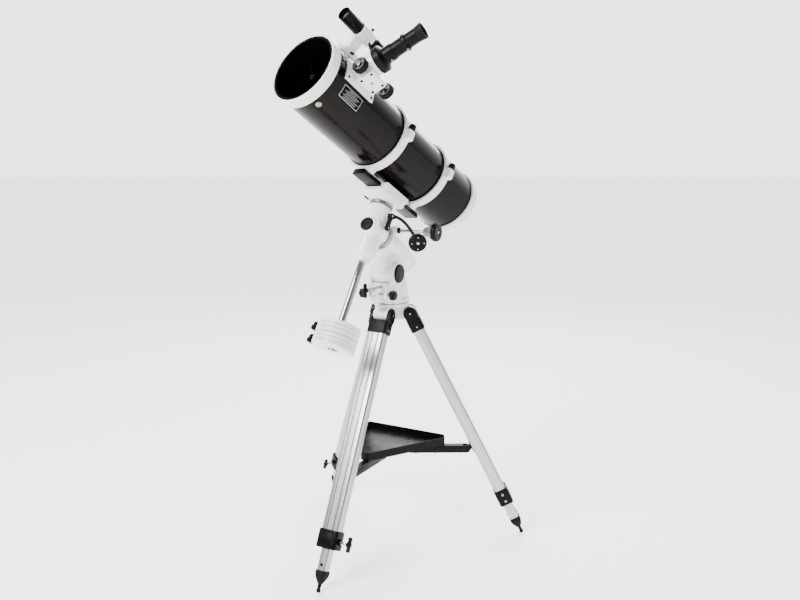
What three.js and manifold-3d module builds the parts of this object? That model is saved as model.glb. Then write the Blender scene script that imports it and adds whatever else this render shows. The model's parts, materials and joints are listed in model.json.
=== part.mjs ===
// Reflecting telescope on a small equatorial mount and an aluminium field tripod.
// Millimetres and degrees, +Z up, origin on the ground below the middle of the whole object.
//
// The scene graph follows the real instrument: the tripod stands on the ground, the mount turns in
// azimuth on its head, tips to the latitude, turns on the polar axis, then on the declination axis,
// and carries the tube in two hinged rings on a dovetail bar.
import * as THREE from 'three';
import { mergeVertices } from 'three/addons/utils/BufferGeometryUtils.js';
import Module from 'manifold-3d';

const wasm = await Module();
wasm.setup();

// ---------------------------------------------------------------- driving sizes

const GAP = 0.3;              // air between pieces that sit face to face
const RUNNING = 0.45;         // radial clearance of a pin in its hole
const MARGIN = 2;             // how far a cutting tool runs past what it cuts

const LEGS = { right: 1, front: -119, rear: 121 };   // azimuth of each leg

const LEG = {
  spread: 26.7,               // angle from the vertical
  pivotRadius: 51, pivotHeight: 678.6,
  width: 51, depth: 33, wall: 2.4, corner: 6,        // upper section
  top: 28, end: 620,                                 // upper section, along the leg from the pivot
  grooveWidth: 3, grooveDepth: 1.2, grooveOffset: 9,
  innerWidth: 25, innerDepth: 27.4, innerTop: 92,    // lower section
  innerEnd: 702, bootEnd: 734,
  bootGrow: 2.2, bootTaper: 10, tipRadius: 6, ball: 7, ballSink: 0.9,
  buttonRadius: 4, buttonHeight: 2.6, buttonAt: 688,
};
const BRACKET = {
  bearing: 19, cheek: 8, inside: 22.8, wall: 3.4, start: 19.6, end: 56, pin: 4.5, head: 7, headHeight: 4,
};
const COLLAR = {
  start: 599, length: 47, wall: 4, step: 24, screwAt: [611, 633], screw: 3.2, screwHeight: 1.6,
};
const CLAMP = { at: 624, boss: 8, bossLength: 7, rod: 3.4, reach: 34, wing: 40, wingWidth: 11, wingDepth: 9 };
const HEAD = {
  top: LEG.pivotHeight + 29.4, bottom: LEG.pivotHeight - 16.6,
  plate: 50, plateHeight: 8.4, column: 28, lug: 17.4, peg: 5, pegHeight: 38,
};
const BRACE = {
  pivotHeight: LEG.pivotHeight - 410.6, innerEnd: 52,
  lug: 7, lugReach: 17, pin: 3, width: 21, height: 22, wall: 2.4,
  boltRadius: 4, boltHeight: 4, boltAt: [70, 128],
};
const TRAY = { corner: 155, cornerWidth: 26, wall: 2.4, rim: BRACE.pivotHeight + 38, height: 23.5 };

const MOUNT_AZIMUTH = -119.6; // the polar axis points over the front leg
const LATITUDE = 31;
const POLAR_CROSSING = HEAD.top + 152.7; // height where the polar axis crosses the azimuth axis
const AXES_JUNCTION = 118;    // from there, along the polar axis, to the declination axis
const HOUR_ANGLE = -2.7;
const DECLINATION_TURN = -9.7;

const BASE = {
  gapAbove: 0.4, plate: 46, plateHeight: 14, cheekIn: 29.4, cheek: 12,
  boltHeight: HEAD.top + 33, boltReach: 76,
  ear: 11, earThick: 10, earAt: 24,
};
const AXLE = {
  north: 32, height: HEAD.top + 88, lug: 30, cheekRound: 31, pin: 7, cap: 26.5, capThick: 5, rearCap: 18,
};
const AZIMUTH_BOLT = { rod: 4, knob: 14, knobLength: 18, knobStart: 39 };
const LATITUDE_BOLT = {
  drop: AXLE.lug + 6, pad: 6, rod: 4, height: 9.4, frontEnd: 150, rearEnd: 88,
  bar: 40, barRound: 5.5, nut: 13,
};

const POLAR = {
  body: 35, neck: 31, start: -47, bodyEnd: -165, end: -222, cap: 30.5, capLength: 16,
  lugWidth: 2 * (BASE.cheekIn - 0.4),
  circleStart: -34.4, circleEnd: -46.4, circle: 38, circleHole: 20, spindle: 19,
};
const SLOW = {
  along: -60, above: 30, boxRound: 12, boxFrom: -24, boxTo: 47, rod: 4, coneStart: 122, coneEnd: 152,
  rimEnd: 166, coneRound: 10, knob: 25,
};
const DEC = {
  body: 31, top: 70, waist: -72, bottom: -95, neck: 20, head: 33, headFrom: -34, headTo: 31,
  frontBoss: 24, frontBossEnd: 35, cap: 19, capEnd: 40, circle: 33, circleFrom: 70.4, circleTo: 78.4,
  spindle: 17,
};
const DEC_SLOW = {
  along: -26, height: 56, boxRound: 11, boxFrom: -22, boxTo: 37, shaft: 4.6, knob: 24, knobLength: 15,
  coneLength: 22, end: new THREE.Vector3(50, 176, -42), aim: new THREE.Vector3(0.55, 0.62, -0.56),
};
const LOCK = {
  height: 44, reach: 42, pivotRound: 8, pivotLength: 14, wide: 17, narrow: 10, thick: 5,
};
const WEIGHT = {
  shaft: 10, shaftEnd: -352, round: 58, clearance: 0.6, thick: 34, bottom: -348, between: 1.2, edge: 3,
};
const WEIGHT_KNOB = { rod: 4, knob: 15, knobLength: 14, lobe: 4.6, standOff: 9 };
const SADDLE = {
  bottom: 79, neck: 30, plateFrom: 92, plateTo: 104, jawTop: 117, length: 110, width: 92,
  slotWidth: 45, screw: 5, knob: 15, knobLength: 14, knobGap: 8,
};
const DOVETAIL = { bottom: 104.5, top: 120, width: 44, narrow: 34, length: 254, shift: -6, clearance: 0.5 };
const TUBE_ROUND = 91;
const TUBE = {
  round: TUBE_ROUND, height: DOVETAIL.top + TUBE_ROUND + 19, wall: 1.6, front: 412, length: 690,
};
const RING = {
  spacing: 200, inside: TUBE.round + 2.2, outside: TUBE.round + 9, width: 24, hinge: TUBE.round + 16.6,
  knuckle: 5.6, pin: 2.4, ear: 4.6, block: 17, blockHeight: 15, boltOut: TUBE.round + 18, bolt: 3,
  knob: 10, knobHeight: 16, footWidth: 30,
};
const FRONT_RING = { round: TUBE.round + 7, band: 29, lip: TUBE.round - 6.5, lipThick: 5, face: 3.5 };
const REAR_CELL = { round: TUBE.round + 6, band: 28, plate: 5, hole: 20, ringRadius: 58, pad: 6 };
const MIRROR = { round: 75, thick: 22, behind: 14, dish: 1.9 };
const SPIDER = {
  at: 365, depth: 12, vane: 1.4, stem: 9, holderEnd: 338, nut: 8, nutFrom: TUBE.round + 0.8,
  nutTo: TUBE.round + 5, screw: 2.4,
};
const SECONDARY = { minor: 22, thick: 8 };
const DRAWTUBE = {
  round: 25, bottom: TUBE.round + 9, wall: 2.4, flange: 33.5, flangeHeight: 16.5, flare: 8, barrel: 21,
  barrelTop: TUBE.round + 107, adapter: 19, adapterTop: TUBE.round + 146, ring: 22,
  ringFrom: TUBE.round + 138, bore: 16.4, rackWidth: 9, rack: 1.2, screw: 3, screwOut: 30,
  screwAt: [TUBE.round + 95, TUBE.round + 142],
};
const FOCUS = {
  at: 300, angle: 57.6, hole: DRAWTUBE.round + 5, baseNear: 53, baseFar: 30, baseLength: 108,
  baseTop: TUBE.round + 6, collar: DRAWTUBE.round + 5, collarFoot: DRAWTUBE.round + 7,
  collarTop: TUBE.round + 56, clearance: 0.6, blockHalf: 31, blockFrom: TUBE.round - 3,
  blockTop: TUBE.round + 47, blockOut: 46, travelSeat: 1.4,
};
const EYEPIECE = {
  barrel: 15.9, barrelFrom: TUBE.round + 116, body: 18.2, bodyTop: TUBE.round + 194, cup: 21,
  cupFrom: TUBE.round + 179, lens: 9, lensDepth: 9,
};
const KNOBS = {
  shaft: 3, out: DRAWTUBE.round + 9, height: TUBE.round + 31, shift: -9, halfGap: 45,
  knob: 20, knobLength: 17, hub: 8, hubOut: 3, pinion: 7.4, pinionHalf: 7,
};
const FINDER = {
  angle: 26, out: TUBE.round + 74, front: 409, shade: 17.5, shadeLength: 57, wall: 1.8, glassDepth: 14,
  tube: 13.5, rear: 262, cup: 16.5, cupLength: 24, cupHole: 9, cupDepth: 6,
};
const FINDER_MOUNT = {
  ringFrom: 303, ringTo: 350, outside: 19.8, inside: 16.4, stalkFrom: 320, stalkTo: 349, stalk: 9,
  shoeFrom: 311, shoeTo: 361, shoe: 17, shoeTop: TUBE.round + 21, shoeBottom: TUBE.round + 0.5,
  plunger: 4, plungerAt: 314, plungerOut: 27, screw: 3.4, screwAt: 311, screwOut: 31, screwAngle: 120,
  screwGap: 0.7, shoeBolt: 3.6, shoeBoltOut: 27,
};

// ---------------------------------------------------------------- materials

const finish = (color, roughness, metalness) => (
  new THREE.MeshStandardMaterial({ color, roughness, metalness })
);
const WHITE = finish(0xf1f2f3, 0.45, 0.0);
const BLACK = finish(0x17181a, 0.5, 0.0);
const TUBE_BLACK = finish(0x14110f, 0.2, 0.1);
const ALUMINIUM = finish(0xb9bcc2, 0.35, 0.9);
const CHROME = finish(0xd8dade, 0.12, 1.0);
const SILVER = finish(0xc8cacc, 0.35, 0.7);
const MIRROR_GLASS = finish(0xdfe6ea, 0.04, 1.0);

// ---------------------------------------------------------------- solids

/** A closed three.js geometry as a solid whose faces point outwards. */
function solid(geometry) {
  const bare = geometry.clone();
  bare.deleteAttribute('normal');
  bare.deleteAttribute('uv');
  const merged = mergeVertices(bare, 1e-4);
  const at = merged.attributes.position;
  const corners = [];
  let volume = 0;
  for (let i = 0; i < merged.index.count; i += 3) {
    const [a, b, c] = [0, 1, 2].map((k) => merged.index.getX(i + k));
    if (a === b || b === c || a === c) continue;
    const [p, q, r] = [a, b, c].map((k) => new THREE.Vector3().fromBufferAttribute(at, k));
    volume += p.dot(q.cross(r));
    corners.push(a, b, c);
  }
  if (volume < 0) corners.reverse();
  const mesh = new wasm.Mesh({
    numProp: 3, vertProperties: new Float32Array(at.array), triVerts: new Uint32Array(corners),
  });
  return new wasm.Manifold(mesh);
}

const join = (...solids) => solids.reduce((all, next) => all.add(next));
const cut = (body, ...tools) => tools.reduce((left, tool) => left.subtract(tool), body);

/** The matrix that lays geometry made along +Y onto the named axis. */
const ALONG = {
  x: new THREE.Matrix4().makeRotationZ(-Math.PI / 2),
  y: new THREE.Matrix4(),
  z: new THREE.Matrix4().makeRotationX(Math.PI / 2),
};

/** Where a shape centred across an axis goes: the two other coordinates, in x, y, z order. */
function across(axis, along, [first, second]) {
  if (axis === 'x') return [along, first, second];
  if (axis === 'y') return [first, along, second];
  return [first, second, along];
}

/** A round bar or cone from one place to another along an axis. */
function rod(axis, radius, from, to, centre = [0, 0], sides = 16, endRadius = radius) {
  const bar = new THREE.CylinderGeometry(endRadius, radius, to - from, sides);
  bar.applyMatrix4(ALONG[axis]);
  return solid(bar.translate(...across(axis, (from + to) / 2, centre)));
}

/** A block between the given limits. */
function block([x0, x1], [y0, y1], [z0, z1]) {
  const cube = new THREE.BoxGeometry(x1 - x0, y1 - y0, z1 - z0);
  return solid(cube.translate((x0 + x1) / 2, (y0 + y1) / 2, (z0 + z1) / 2));
}

/** A turned piece: [radius, place along the axis] points that start and end on the axis or close. */
function turned(axis, outline, centre = [0, 0], sides = 24) {
  const points = outline.map(([radius, along]) => new THREE.Vector2(radius, along));
  const shape = new THREE.LatheGeometry(points, sides);
  shape.applyMatrix4(ALONG[axis]);
  return solid(shape.translate(...across(axis, 0, centre)));
}

/** A ring between two radii and two places along its axis. */
function ring(axis, inside, outside, from, to, centre = [0, 0], sides = 28) {
  const outline = [[inside, from], [outside, from], [outside, to], [inside, to], [inside, from]];
  return turned(axis, outline, centre, sides);
}

/** A flat outline in the plane across an axis, given depth along it. */
function slab(axis, outline, from, to, curveSegments = 2) {
  const shape = outline instanceof THREE.Shape
    ? outline
    : new THREE.Shape(outline.map(([u, v]) => new THREE.Vector2(u, v)));
  const plate = new THREE.ExtrudeGeometry(shape, { depth: to - from, bevelEnabled: false, curveSegments });
  const lay = new THREE.Matrix4();
  if (axis === 'x') lay.set(0, 0, 1, from, 1, 0, 0, 0, 0, 1, 0, 0, 0, 0, 0, 1);
  if (axis === 'y') lay.set(1, 0, 0, 0, 0, 0, 1, from, 0, 1, 0, 0, 0, 0, 0, 1);
  if (axis === 'z') lay.makeTranslation(0, 0, from);
  return solid(plate.applyMatrix4(lay));
}

/** A rectangle with round corners, centred on the origin. */
function roundRectangle(width, height, corner) {
  const [x, y] = [width / 2, height / 2];
  const shape = new THREE.Shape();
  shape.moveTo(x - corner, -y);
  shape.absarc(x - corner, -y + corner, corner, -Math.PI / 2, 0);
  shape.absarc(x - corner, y - corner, corner, 0, Math.PI / 2);
  shape.absarc(-x + corner, y - corner, corner, Math.PI / 2, Math.PI);
  shape.absarc(-x + corner, -y + corner, corner, Math.PI, 1.5 * Math.PI);
  shape.closePath();
  return shape;
}

/** A solid turned and moved by a matrix. */
function moved(body, matrix) {
  return solid(toGeometry(body).applyMatrix4(matrix));
}

/** The matrix that turns about one axis. */
const turn = (axis, degrees) => (
  new THREE.Matrix4()[`makeRotation${axis.toUpperCase()}`](THREE.MathUtils.degToRad(degrees))
);

/** The three.js geometry of a solid. */
function toGeometry(body) {
  const { vertProperties, triVerts } = body.getMesh();
  const geometry = new THREE.BufferGeometry();
  geometry.setAttribute('position', new THREE.BufferAttribute(vertProperties, 3));
  geometry.setIndex(new THREE.BufferAttribute(triVerts, 1));
  return geometry;
}

/** Adds a named piece to a group. */
function add(group, name, body, material) {
  const geometry = toGeometry(body);
  geometry.computeVertexNormals();
  const mesh = new THREE.Mesh(geometry, material);
  mesh.name = name;
  group.add(mesh);
  return mesh;
}

/** A group placed inside another, turned about one axis. */
function frame(parent, position, axis = 'z', degrees = 0) {
  const group = new THREE.Group();
  group.position.set(...position);
  group.rotation[axis] = THREE.MathUtils.degToRad(degrees);
  parent.add(group);
  return group;
}

/** A knob with round lobes on its rim, from one place to another along an axis. */
function lobedKnob(axis, radius, lobe, lobes, from, to, centre = [0, 0]) {
  let knob = rod(axis, radius - lobe / 2, from, to, centre, 12);
  for (let i = 0; i < lobes; i += 1) {
    const angle = (i * 2 * Math.PI) / lobes;
    const [u, v] = [(radius - lobe) * Math.cos(angle), (radius - lobe) * Math.sin(angle)];
    knob = join(knob, rod(axis, lobe, from, to, [centre[0] + u, centre[1] + v], 6));
  }
  return knob;
}

// ---------------------------------------------------------------- tripod

/** One upper leg section: a hollow extrusion with two grooves down its outer face, and the brace lug. */
function legUpper() {
  const { width, depth, wall } = LEG;
  const channelWidth = LEG.innerWidth + 2 * RUNNING;
  const sideFrom = channelWidth / 2 + wall;
  const outside = slab('z', roundRectangle(depth, width, LEG.corner), -LEG.end, -LEG.top);
  const through = [-LEG.end - MARGIN, -LEG.top + MARGIN];
  const channel = (y0, y1) => block([-depth / 2 + wall, depth / 2 - wall], [y0, y1], through);
  const groove = (y) => block(
    [depth / 2 - LEG.grooveDepth, depth], [y - LEG.grooveWidth / 2, y + LEG.grooveWidth / 2], through,
  );
  const hollow = cut(
    outside, channel(-channelWidth / 2, channelWidth / 2), channel(sideFrom, width / 2 - wall),
    channel(-width / 2 + wall, -sideFrom), groove(LEG.grooveOffset), groove(-LEG.grooveOffset),
  );
  const { along, inwards } = bracePivot();
  const lug = join(
    rod('y', BRACE.lug, -BRACE.lug, BRACE.lug, [inwards, -along], 12),
    block(
      [inwards, -depth / 2 + wall / 2], [-BRACE.lug, BRACE.lug], [-along - BRACE.lug, -along + BRACE.lug],
    ),
  );
  const hole = rod('y', BRACE.pin + RUNNING, -BRACE.width, BRACE.width, [inwards, -along], 12);
  return join(hollow, cut(lug, hole));
}

/** The brace pivot in a leg's own frame, and its radius from the tripod's axis. */
function bracePivot() {
  const lean = THREE.MathUtils.degToRad(LEG.spread);
  const inwards = -LEG.depth / 2 - BRACE.lugReach;
  const along = (LEG.pivotHeight - BRACE.pivotHeight + inwards * Math.sin(lean)) / Math.cos(lean);
  return { along, inwards, radius: LEG.pivotRadius + along * Math.sin(lean) + inwards * Math.cos(lean) };
}

/** One lower leg section with its locking buttons, rubber boot and ground tip. */
function legLower() {
  const lean = THREE.MathUtils.degToRad(LEG.spread);
  const ballAt = (LEG.pivotHeight - LEG.ball + LEG.ballSink) / Math.cos(lean);
  const bootWidth = LEG.innerWidth + 2 * LEG.bootGrow;
  const bootDepth = LEG.innerDepth + 2 * LEG.bootGrow;
  const bar = block(
    [-LEG.innerDepth / 2, LEG.innerDepth / 2], [-LEG.innerWidth / 2, LEG.innerWidth / 2],
    [-LEG.innerEnd - 6, -LEG.innerTop],
  );
  const taperFrom = -LEG.bootEnd + LEG.bootTaper;
  const bootTop = slab('z', roundRectangle(bootDepth, bootWidth, 4), taperFrom, -LEG.innerEnd);
  const bootToe = rod('z', bootWidth / 2 - 5, -LEG.bootEnd, taperFrom + 1, [0, 0], 12, bootWidth / 2);
  const spike = rod('z', LEG.tipRadius, -ballAt, -LEG.bootEnd + 1, [0, 0], 12);
  const ball = solid(new THREE.SphereGeometry(LEG.ball, 12, 8).translate(0, 0, -ballAt));
  const buttonOut = LEG.innerDepth / 2 + LEG.buttonHeight;
  const buttons = rod('x', LEG.buttonRadius, -buttonOut, buttonOut, [0, -LEG.buttonAt], 10);
  const ground = moved(
    block([-60, 60], [-60, 60], [-60, 0]),
    new THREE.Matrix4()
      .makeTranslation(0, 0, -LEG.pivotHeight / Math.cos(lean))
      .multiply(turn('y', LEG.spread)),
  );
  return cut(join(bar, bootTop, bootToe, spike, ball, buttons), ground);
}

/** The moulded bracket that holds a leg's top and hinges on the tripod head. */
function legBracket() {
  const { bearing, cheek, inside, wall, start, end } = BRACKET;
  const outer = inside + cheek;
  const socketWidth = LEG.width + 2 * (GAP + wall);
  const socketDepth = LEG.depth + 2 * (GAP + wall);
  const socket = slab('z', roundRectangle(socketDepth, socketWidth, LEG.corner), -end, -start);
  const cheekPlate = (y0, y1) => join(
    rod('y', bearing, y0, y1, [0, 0], 18), block([-bearing, bearing], [y0, y1], [-start - MARGIN, 0]),
  );
  const recess = slab(
    'z', roundRectangle(LEG.depth + 2 * GAP, LEG.width + 2 * GAP, LEG.corner), -end - MARGIN, -LEG.top + GAP,
  );
  const bolt = join(
    rod('y', BRACKET.pin, -outer, outer, [0, 0], 12),
    rod('y', BRACKET.head, -outer - BRACKET.headHeight, -outer + 1, [0, 0], 6),
    rod('y', BRACKET.head, outer - 1, outer + BRACKET.headHeight, [0, 0], 6),
  );
  return cut(join(socket, cheekPlate(-outer, -inside), cheekPlate(inside, outer), bolt), recess);
}

/** The clamp collar at the foot of an upper leg section. */
function legCollar() {
  const { start, length, wall, step } = COLLAR;
  const width = LEG.width + 2 * (GAP + wall);
  const depth = LEG.depth + 2 * (GAP + wall);
  const body = slab('z', roundRectangle(depth, width, LEG.corner), -start - length, -start);
  const upper = slab(
    'z', roundRectangle(LEG.depth + 2 * GAP, LEG.width + 2 * GAP, LEG.corner), -start - step, -start + MARGIN,
  );
  const [halfDepth, halfWidth] = [LEG.innerDepth / 2 + RUNNING, LEG.innerWidth / 2 + RUNNING];
  const lower = block([-halfDepth, halfDepth], [-halfWidth, halfWidth], [-start - length - MARGIN, -start]);
  const screws = COLLAR.screwAt.map(
    (at) => rod('y', COLLAR.screw, -width / 2 - COLLAR.screwHeight, -width / 2 + 2, [0, -at], 8),
  );
  const boss = rod('y', CLAMP.boss, width / 2 - 2, width / 2 + CLAMP.bossLength, [0, -CLAMP.at], 12);
  const hole = rod('y', CLAMP.rod + RUNNING, width / 2 - wall + 1, width, [0, -CLAMP.at], 10);
  return cut(join(body, boss, ...screws), upper, lower, hole);
}

/** The wing screw that clamps a lower leg. */
function legKnob() {
  const face = LEG.width / 2 + GAP + COLLAR.wall;
  const end = face + CLAMP.reach;
  const { wing, wingWidth, wingDepth } = CLAMP;
  const bar = slab('y', roundRectangle(wingWidth, wing, wingWidth / 2 - 0.1), end - wingDepth, end);
  return join(
    rod('y', CLAMP.rod, face - COLLAR.wall + 1.6, end - 2, [0, -CLAMP.at], 10),
    moved(bar, new THREE.Matrix4().makeTranslation(0, 0, -CLAMP.at)),
  );
}

/** A brace arm: a channel, open below, that hinges on the leg's lug and runs in under the tray. */
function braceArm(pivot) {
  const { width, height, wall, lug } = BRACE;
  const top = height / 2;
  const start = -(pivot.radius - BRACE.innerEnd);
  const body = join(
    block([start, 0], [-width / 2, width / 2], [-top, top]),
    rod('y', top, -width / 2, width / 2, [0, 0], 16),
  );
  const inside = width / 2 - wall;
  const channel = block([start - MARGIN, 0], [-inside, inside], [-top - MARGIN, top - wall]);
  const slot = block([-lug - 4, top + MARGIN], [-inside, inside], [-top - MARGIN, top + MARGIN]);
  const bolts = BRACE.boltAt.map((radius) => rod(
    'z', BRACE.boltRadius, -top - BRACE.boltHeight, top - wall / 2, [radius - pivot.radius, 0], 12,
  ));
  return join(cut(body, channel, slot), rod('y', BRACE.pin, -width / 2, width / 2, [0, 0], 10), ...bolts);
}

/** The triangle of the tray with its corners cut off, grown or shrunk by an offset. */
function trayOutline(offset) {
  const half = TRAY.cornerWidth / 2;
  const points = [];
  for (const azimuth of Object.values(LEGS).sort((a, b) => a - b)) {
    const angle = THREE.MathUtils.degToRad(azimuth);
    for (const side of [-1, 1]) {
      const [out, tangent] = [TRAY.corner + offset, side * (half + offset * Math.tan(Math.PI / 12))];
      points.push([
        out * Math.cos(angle) - tangent * Math.sin(angle),
        out * Math.sin(angle) + tangent * Math.cos(angle),
      ]);
    }
  }
  return points;
}

/** The accessory tray: a shallow pan. */
function tray() {
  const floor = TRAY.rim - TRAY.height;
  const outside = slab('z', trayOutline(0), floor, TRAY.rim);
  const inside = slab('z', trayOutline(-TRAY.wall), floor + TRAY.wall, TRAY.rim + MARGIN);
  return cut(outside, inside);
}

/** The cast head: a column with three hinge lugs under a round plate, and the azimuth peg. */
function tripodHead() {
  const { top, plate, plateHeight, column, bottom, lug, peg, pegHeight } = HEAD;
  const lugHalf = BRACKET.inside - RUNNING;
  let head = join(
    rod('z', column, bottom, top, [0, 0], 24), rod('z', plate, top - plateHeight, top, [0, 0], 30),
  );
  for (const azimuth of Object.values(LEGS)) {
    const eye = cut(
      join(
        rod('y', lug, -lugHalf, lugHalf, [LEG.pivotRadius, LEG.pivotHeight], 18),
        block([0, LEG.pivotRadius], [-lugHalf, lugHalf], [LEG.pivotHeight - lug, top - plateHeight + 1]),
      ),
      rod(
        'y', BRACKET.pin + RUNNING, -lugHalf - MARGIN, lugHalf + MARGIN,
        [LEG.pivotRadius, LEG.pivotHeight], 12,
      ),
    );
    head = join(head, moved(eye, turn('z', azimuth)));
  }
  const reach = BASE.boltReach;
  const arm = join(
    block([plate - 8, reach], [-peg - 3, peg + 3], [top - plateHeight, top]),
    rod('z', peg + 3, top - plateHeight, top, [reach, 0], 12),
    rod('z', peg, top - 1, top + pegHeight, [reach, 0], 12),
  );
  return join(head, moved(arm, turn('z', MOUNT_AZIMUTH)));
}

/** Builds the tripod in a group. */
function buildTripod(root) {
  add(root, 'tripod_head', tripodHead(), WHITE);
  const pivot = bracePivot();
  for (const [name, azimuth] of Object.entries(LEGS)) {
    const upright = frame(root, [0, 0, 0], 'z', azimuth);
    const leaning = frame(upright, [LEG.pivotRadius, 0, LEG.pivotHeight], 'y', -LEG.spread);
    add(leaning, `leg_bracket_${name}`, legBracket(), BLACK);
    add(leaning, `leg_upper_${name}`, legUpper(), ALUMINIUM);
    add(leaning, `leg_collar_${name}`, legCollar(), BLACK);
    add(leaning, `leg_knob_${name}`, legKnob(), BLACK);
    add(leaning, `leg_lower_${name}`, legLower(), ALUMINIUM);
    add(frame(upright, [pivot.radius, 0, BRACE.pivotHeight]), `brace_arm_${name}`, braceArm(pivot), BLACK);
  }
  add(root, 'tray', tray(), BLACK);
}

// ---------------------------------------------------------------- mount base, polar housing

/** The azimuth base: a plate with two cheeks for the latitude axle and two ears for the azimuth bolts. */
function azimuthBase() {
  const bottom = HEAD.top + BASE.gapAbove;
  const platform = bottom + BASE.plateHeight;
  const { north, height, cheekRound } = AXLE;
  const cheekPlate = (side) => {
    const [y0, y1] = [side * BASE.cheekIn, side * (BASE.cheekIn + BASE.cheek)].sort((a, b) => a - b);
    const outline = new THREE.Shape();
    outline.moveTo(-34, bottom + 2);
    outline.lineTo(44, bottom + 2);
    outline.lineTo(north + cheekRound, height);
    outline.absarc(north, height, cheekRound, 0, 0.8 * Math.PI);
    outline.closePath();
    return slab('y', outline, y0, y1, 6);
  };
  const bolt = BASE.boltHeight;
  const reach = BASE.boltReach;
  const ear = (side) => {
    const [y0, y1] = [side * BASE.earAt, side * (BASE.earAt + BASE.earThick)].sort((a, b) => a - b);
    return join(
      rod('y', BASE.ear, y0, y1, [reach, bolt], 16),
      block([30, reach], [y0, y1], [bottom + 4, bolt + BASE.ear]),
    );
  };
  const drop = height - LATITUDE_BOLT.drop;
  const wall = (x0, x1) => block(
    [x0, x1], [-BASE.cheekIn - 1, BASE.cheekIn + 1], [bottom + 4, drop + LATITUDE_BOLT.height],
  );
  const body = join(
    rod('z', BASE.plate, bottom, platform, [0, 0], 30), cheekPlate(1), cheekPlate(-1), ear(1), ear(-1),
    wall(north + 16, north + 26), wall(north - 62, north - 52),
    block([north - 60, -20], [-34, 34], [bottom, platform]),
  );
  return cut(
    body,
    rod('y', AXLE.pin + RUNNING, -60, 60, [north, height], 16),
    rod('y', AZIMUTH_BOLT.rod + RUNNING, -60, 60, [reach, bolt], 10),
    rod('x', LATITUDE_BOLT.rod + RUNNING, north - 80, north + 60, [0, drop], 10),
    block([reach - 9, reach + 30], [-BASE.earAt + 1, BASE.earAt - 1], [bottom - 2, bolt + 30]),
  );
}

/** The axle that the polar housing tips on, with its two end caps. */
function latitudeAxle() {
  const face = BASE.cheekIn + BASE.cheek + GAP;
  const { north, height, pin, cap, capThick, rearCap } = AXLE;
  return join(
    rod('y', pin, -face - 1, face + 1, [north, height], 16),
    rod('y', cap, face, face + capThick, [north, height], 24, cap - 2),
    rod('y', rearCap, -face - capThick, -face, [north, height], 18),
  );
}

/** One azimuth bolt: a threaded rod whose tip meets the peg, with a round knob outside the ear. */
function azimuthBolt(side) {
  const { rod: radius, knob, knobLength, knobStart } = AZIMUTH_BOLT;
  const centre = [BASE.boltReach, BASE.boltHeight];
  const along = (from, to) => [side * from, side * to].sort((a, b) => a - b);
  return join(
    rod('y', radius, ...along(HEAD.peg + GAP + 0.2, knobStart + 1), centre, 10),
    lobedKnob('y', knob, 3.6, 7, ...along(knobStart, knobStart + knobLength), centre),
  );
}

/** The long latitude bolt in front, with its cross bar. */
function latitudeBoltFront() {
  const { drop, pad, rod: radius, frontEnd, bar, barRound } = LATITUDE_BOLT;
  const height = AXLE.height - drop;
  const start = AXLE.north + pad + GAP + 0.3;
  return join(
    rod('x', radius, start, frontEnd, [0, height], 10),
    rod('x', barRound + 1.5, frontEnd - 14, frontEnd - 2, [0, height], 10),
    rod('z', barRound, height - bar / 2, height + bar / 2, [frontEnd - 7, 0], 10),
  );
}

/** The short latitude bolt behind. */
function latitudeBoltRear() {
  const { drop, pad, rod: radius, rearEnd, nut } = LATITUDE_BOLT;
  const height = AXLE.height - drop;
  return join(
    rod('x', radius, AXLE.north - rearEnd, AXLE.north - pad - GAP - 0.3, [0, height], 10),
    rod('x', nut, AXLE.north - rearEnd, AXLE.north - rearEnd + 16, [0, height], 12),
  );
}

/** The latitude axle's place in the polar frame: along the polar axis from the crossing, and below it. */
function axleInPolarFrame() {
  const tilt = THREE.MathUtils.degToRad(LATITUDE);
  const rise = AXLE.height - POLAR_CROSSING;
  return {
    along: AXLE.north * Math.cos(tilt) + rise * Math.sin(tilt) - AXES_JUNCTION,
    below: rise * Math.cos(tilt) - AXLE.north * Math.sin(tilt),
  };
}

/** The polar housing: the barrel of the polar axis, its worm box and the lug it tips on. */
function polarHousing() {
  const { body, neck, start, bodyEnd, end, cap, capLength, lugWidth } = POLAR;
  const { along, below } = axleInPolarFrame();
  const half = lugWidth / 2;
  const tilt = THREE.MathUtils.degToRad(LATITUDE);
  const padX = along - LATITUDE_BOLT.drop * Math.sin(tilt);
  const padZ = below - LATITUDE_BOLT.drop * Math.cos(tilt);
  const barrel = turned('x', [
    [0, end], [cap - 6, end], [cap, end + 6], [cap, end + capLength], [neck, end + capLength + 1],
    [neck, bodyEnd - 12], [body, bodyEnd], [body, start - 8], [body - 3, start], [0, start],
  ]);
  const lug = join(
    rod('y', AXLE.lug, -half, half, [along, below], 24),
    block([along - 30, along + 30], [-half, half], [below, -10]),
    rod('y', LATITUDE_BOLT.pad, -10, 10, [padX, padZ], 12),
    moved(
      block([-LATITUDE_BOLT.pad, LATITUDE_BOLT.pad], [-10, 10], [-LATITUDE_BOLT.drop, 0]),
      new THREE.Matrix4().makeTranslation(along, 0, below).multiply(turn('y', LATITUDE)),
    ),
  );
  const worm = rod('y', SLOW.boxRound, SLOW.boxFrom, SLOW.boxTo - 6, [SLOW.along, SLOW.above], 18);
  const nose = rod('y', SLOW.boxRound - 4, SLOW.boxTo - 7, SLOW.boxTo, [SLOW.along, SLOW.above], 16);
  return cut(
    join(barrel, lug, worm, nose),
    rod('y', AXLE.pin + RUNNING, -60, 60, [along, below], 16),
    rod('x', POLAR.spindle + RUNNING, start - 34, start + MARGIN, [0, 0], 24),
    rod('y', SLOW.rod + RUNNING, SLOW.boxTo - 18, SLOW.boxTo + MARGIN, [SLOW.along, SLOW.above], 10),
  );
}

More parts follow.
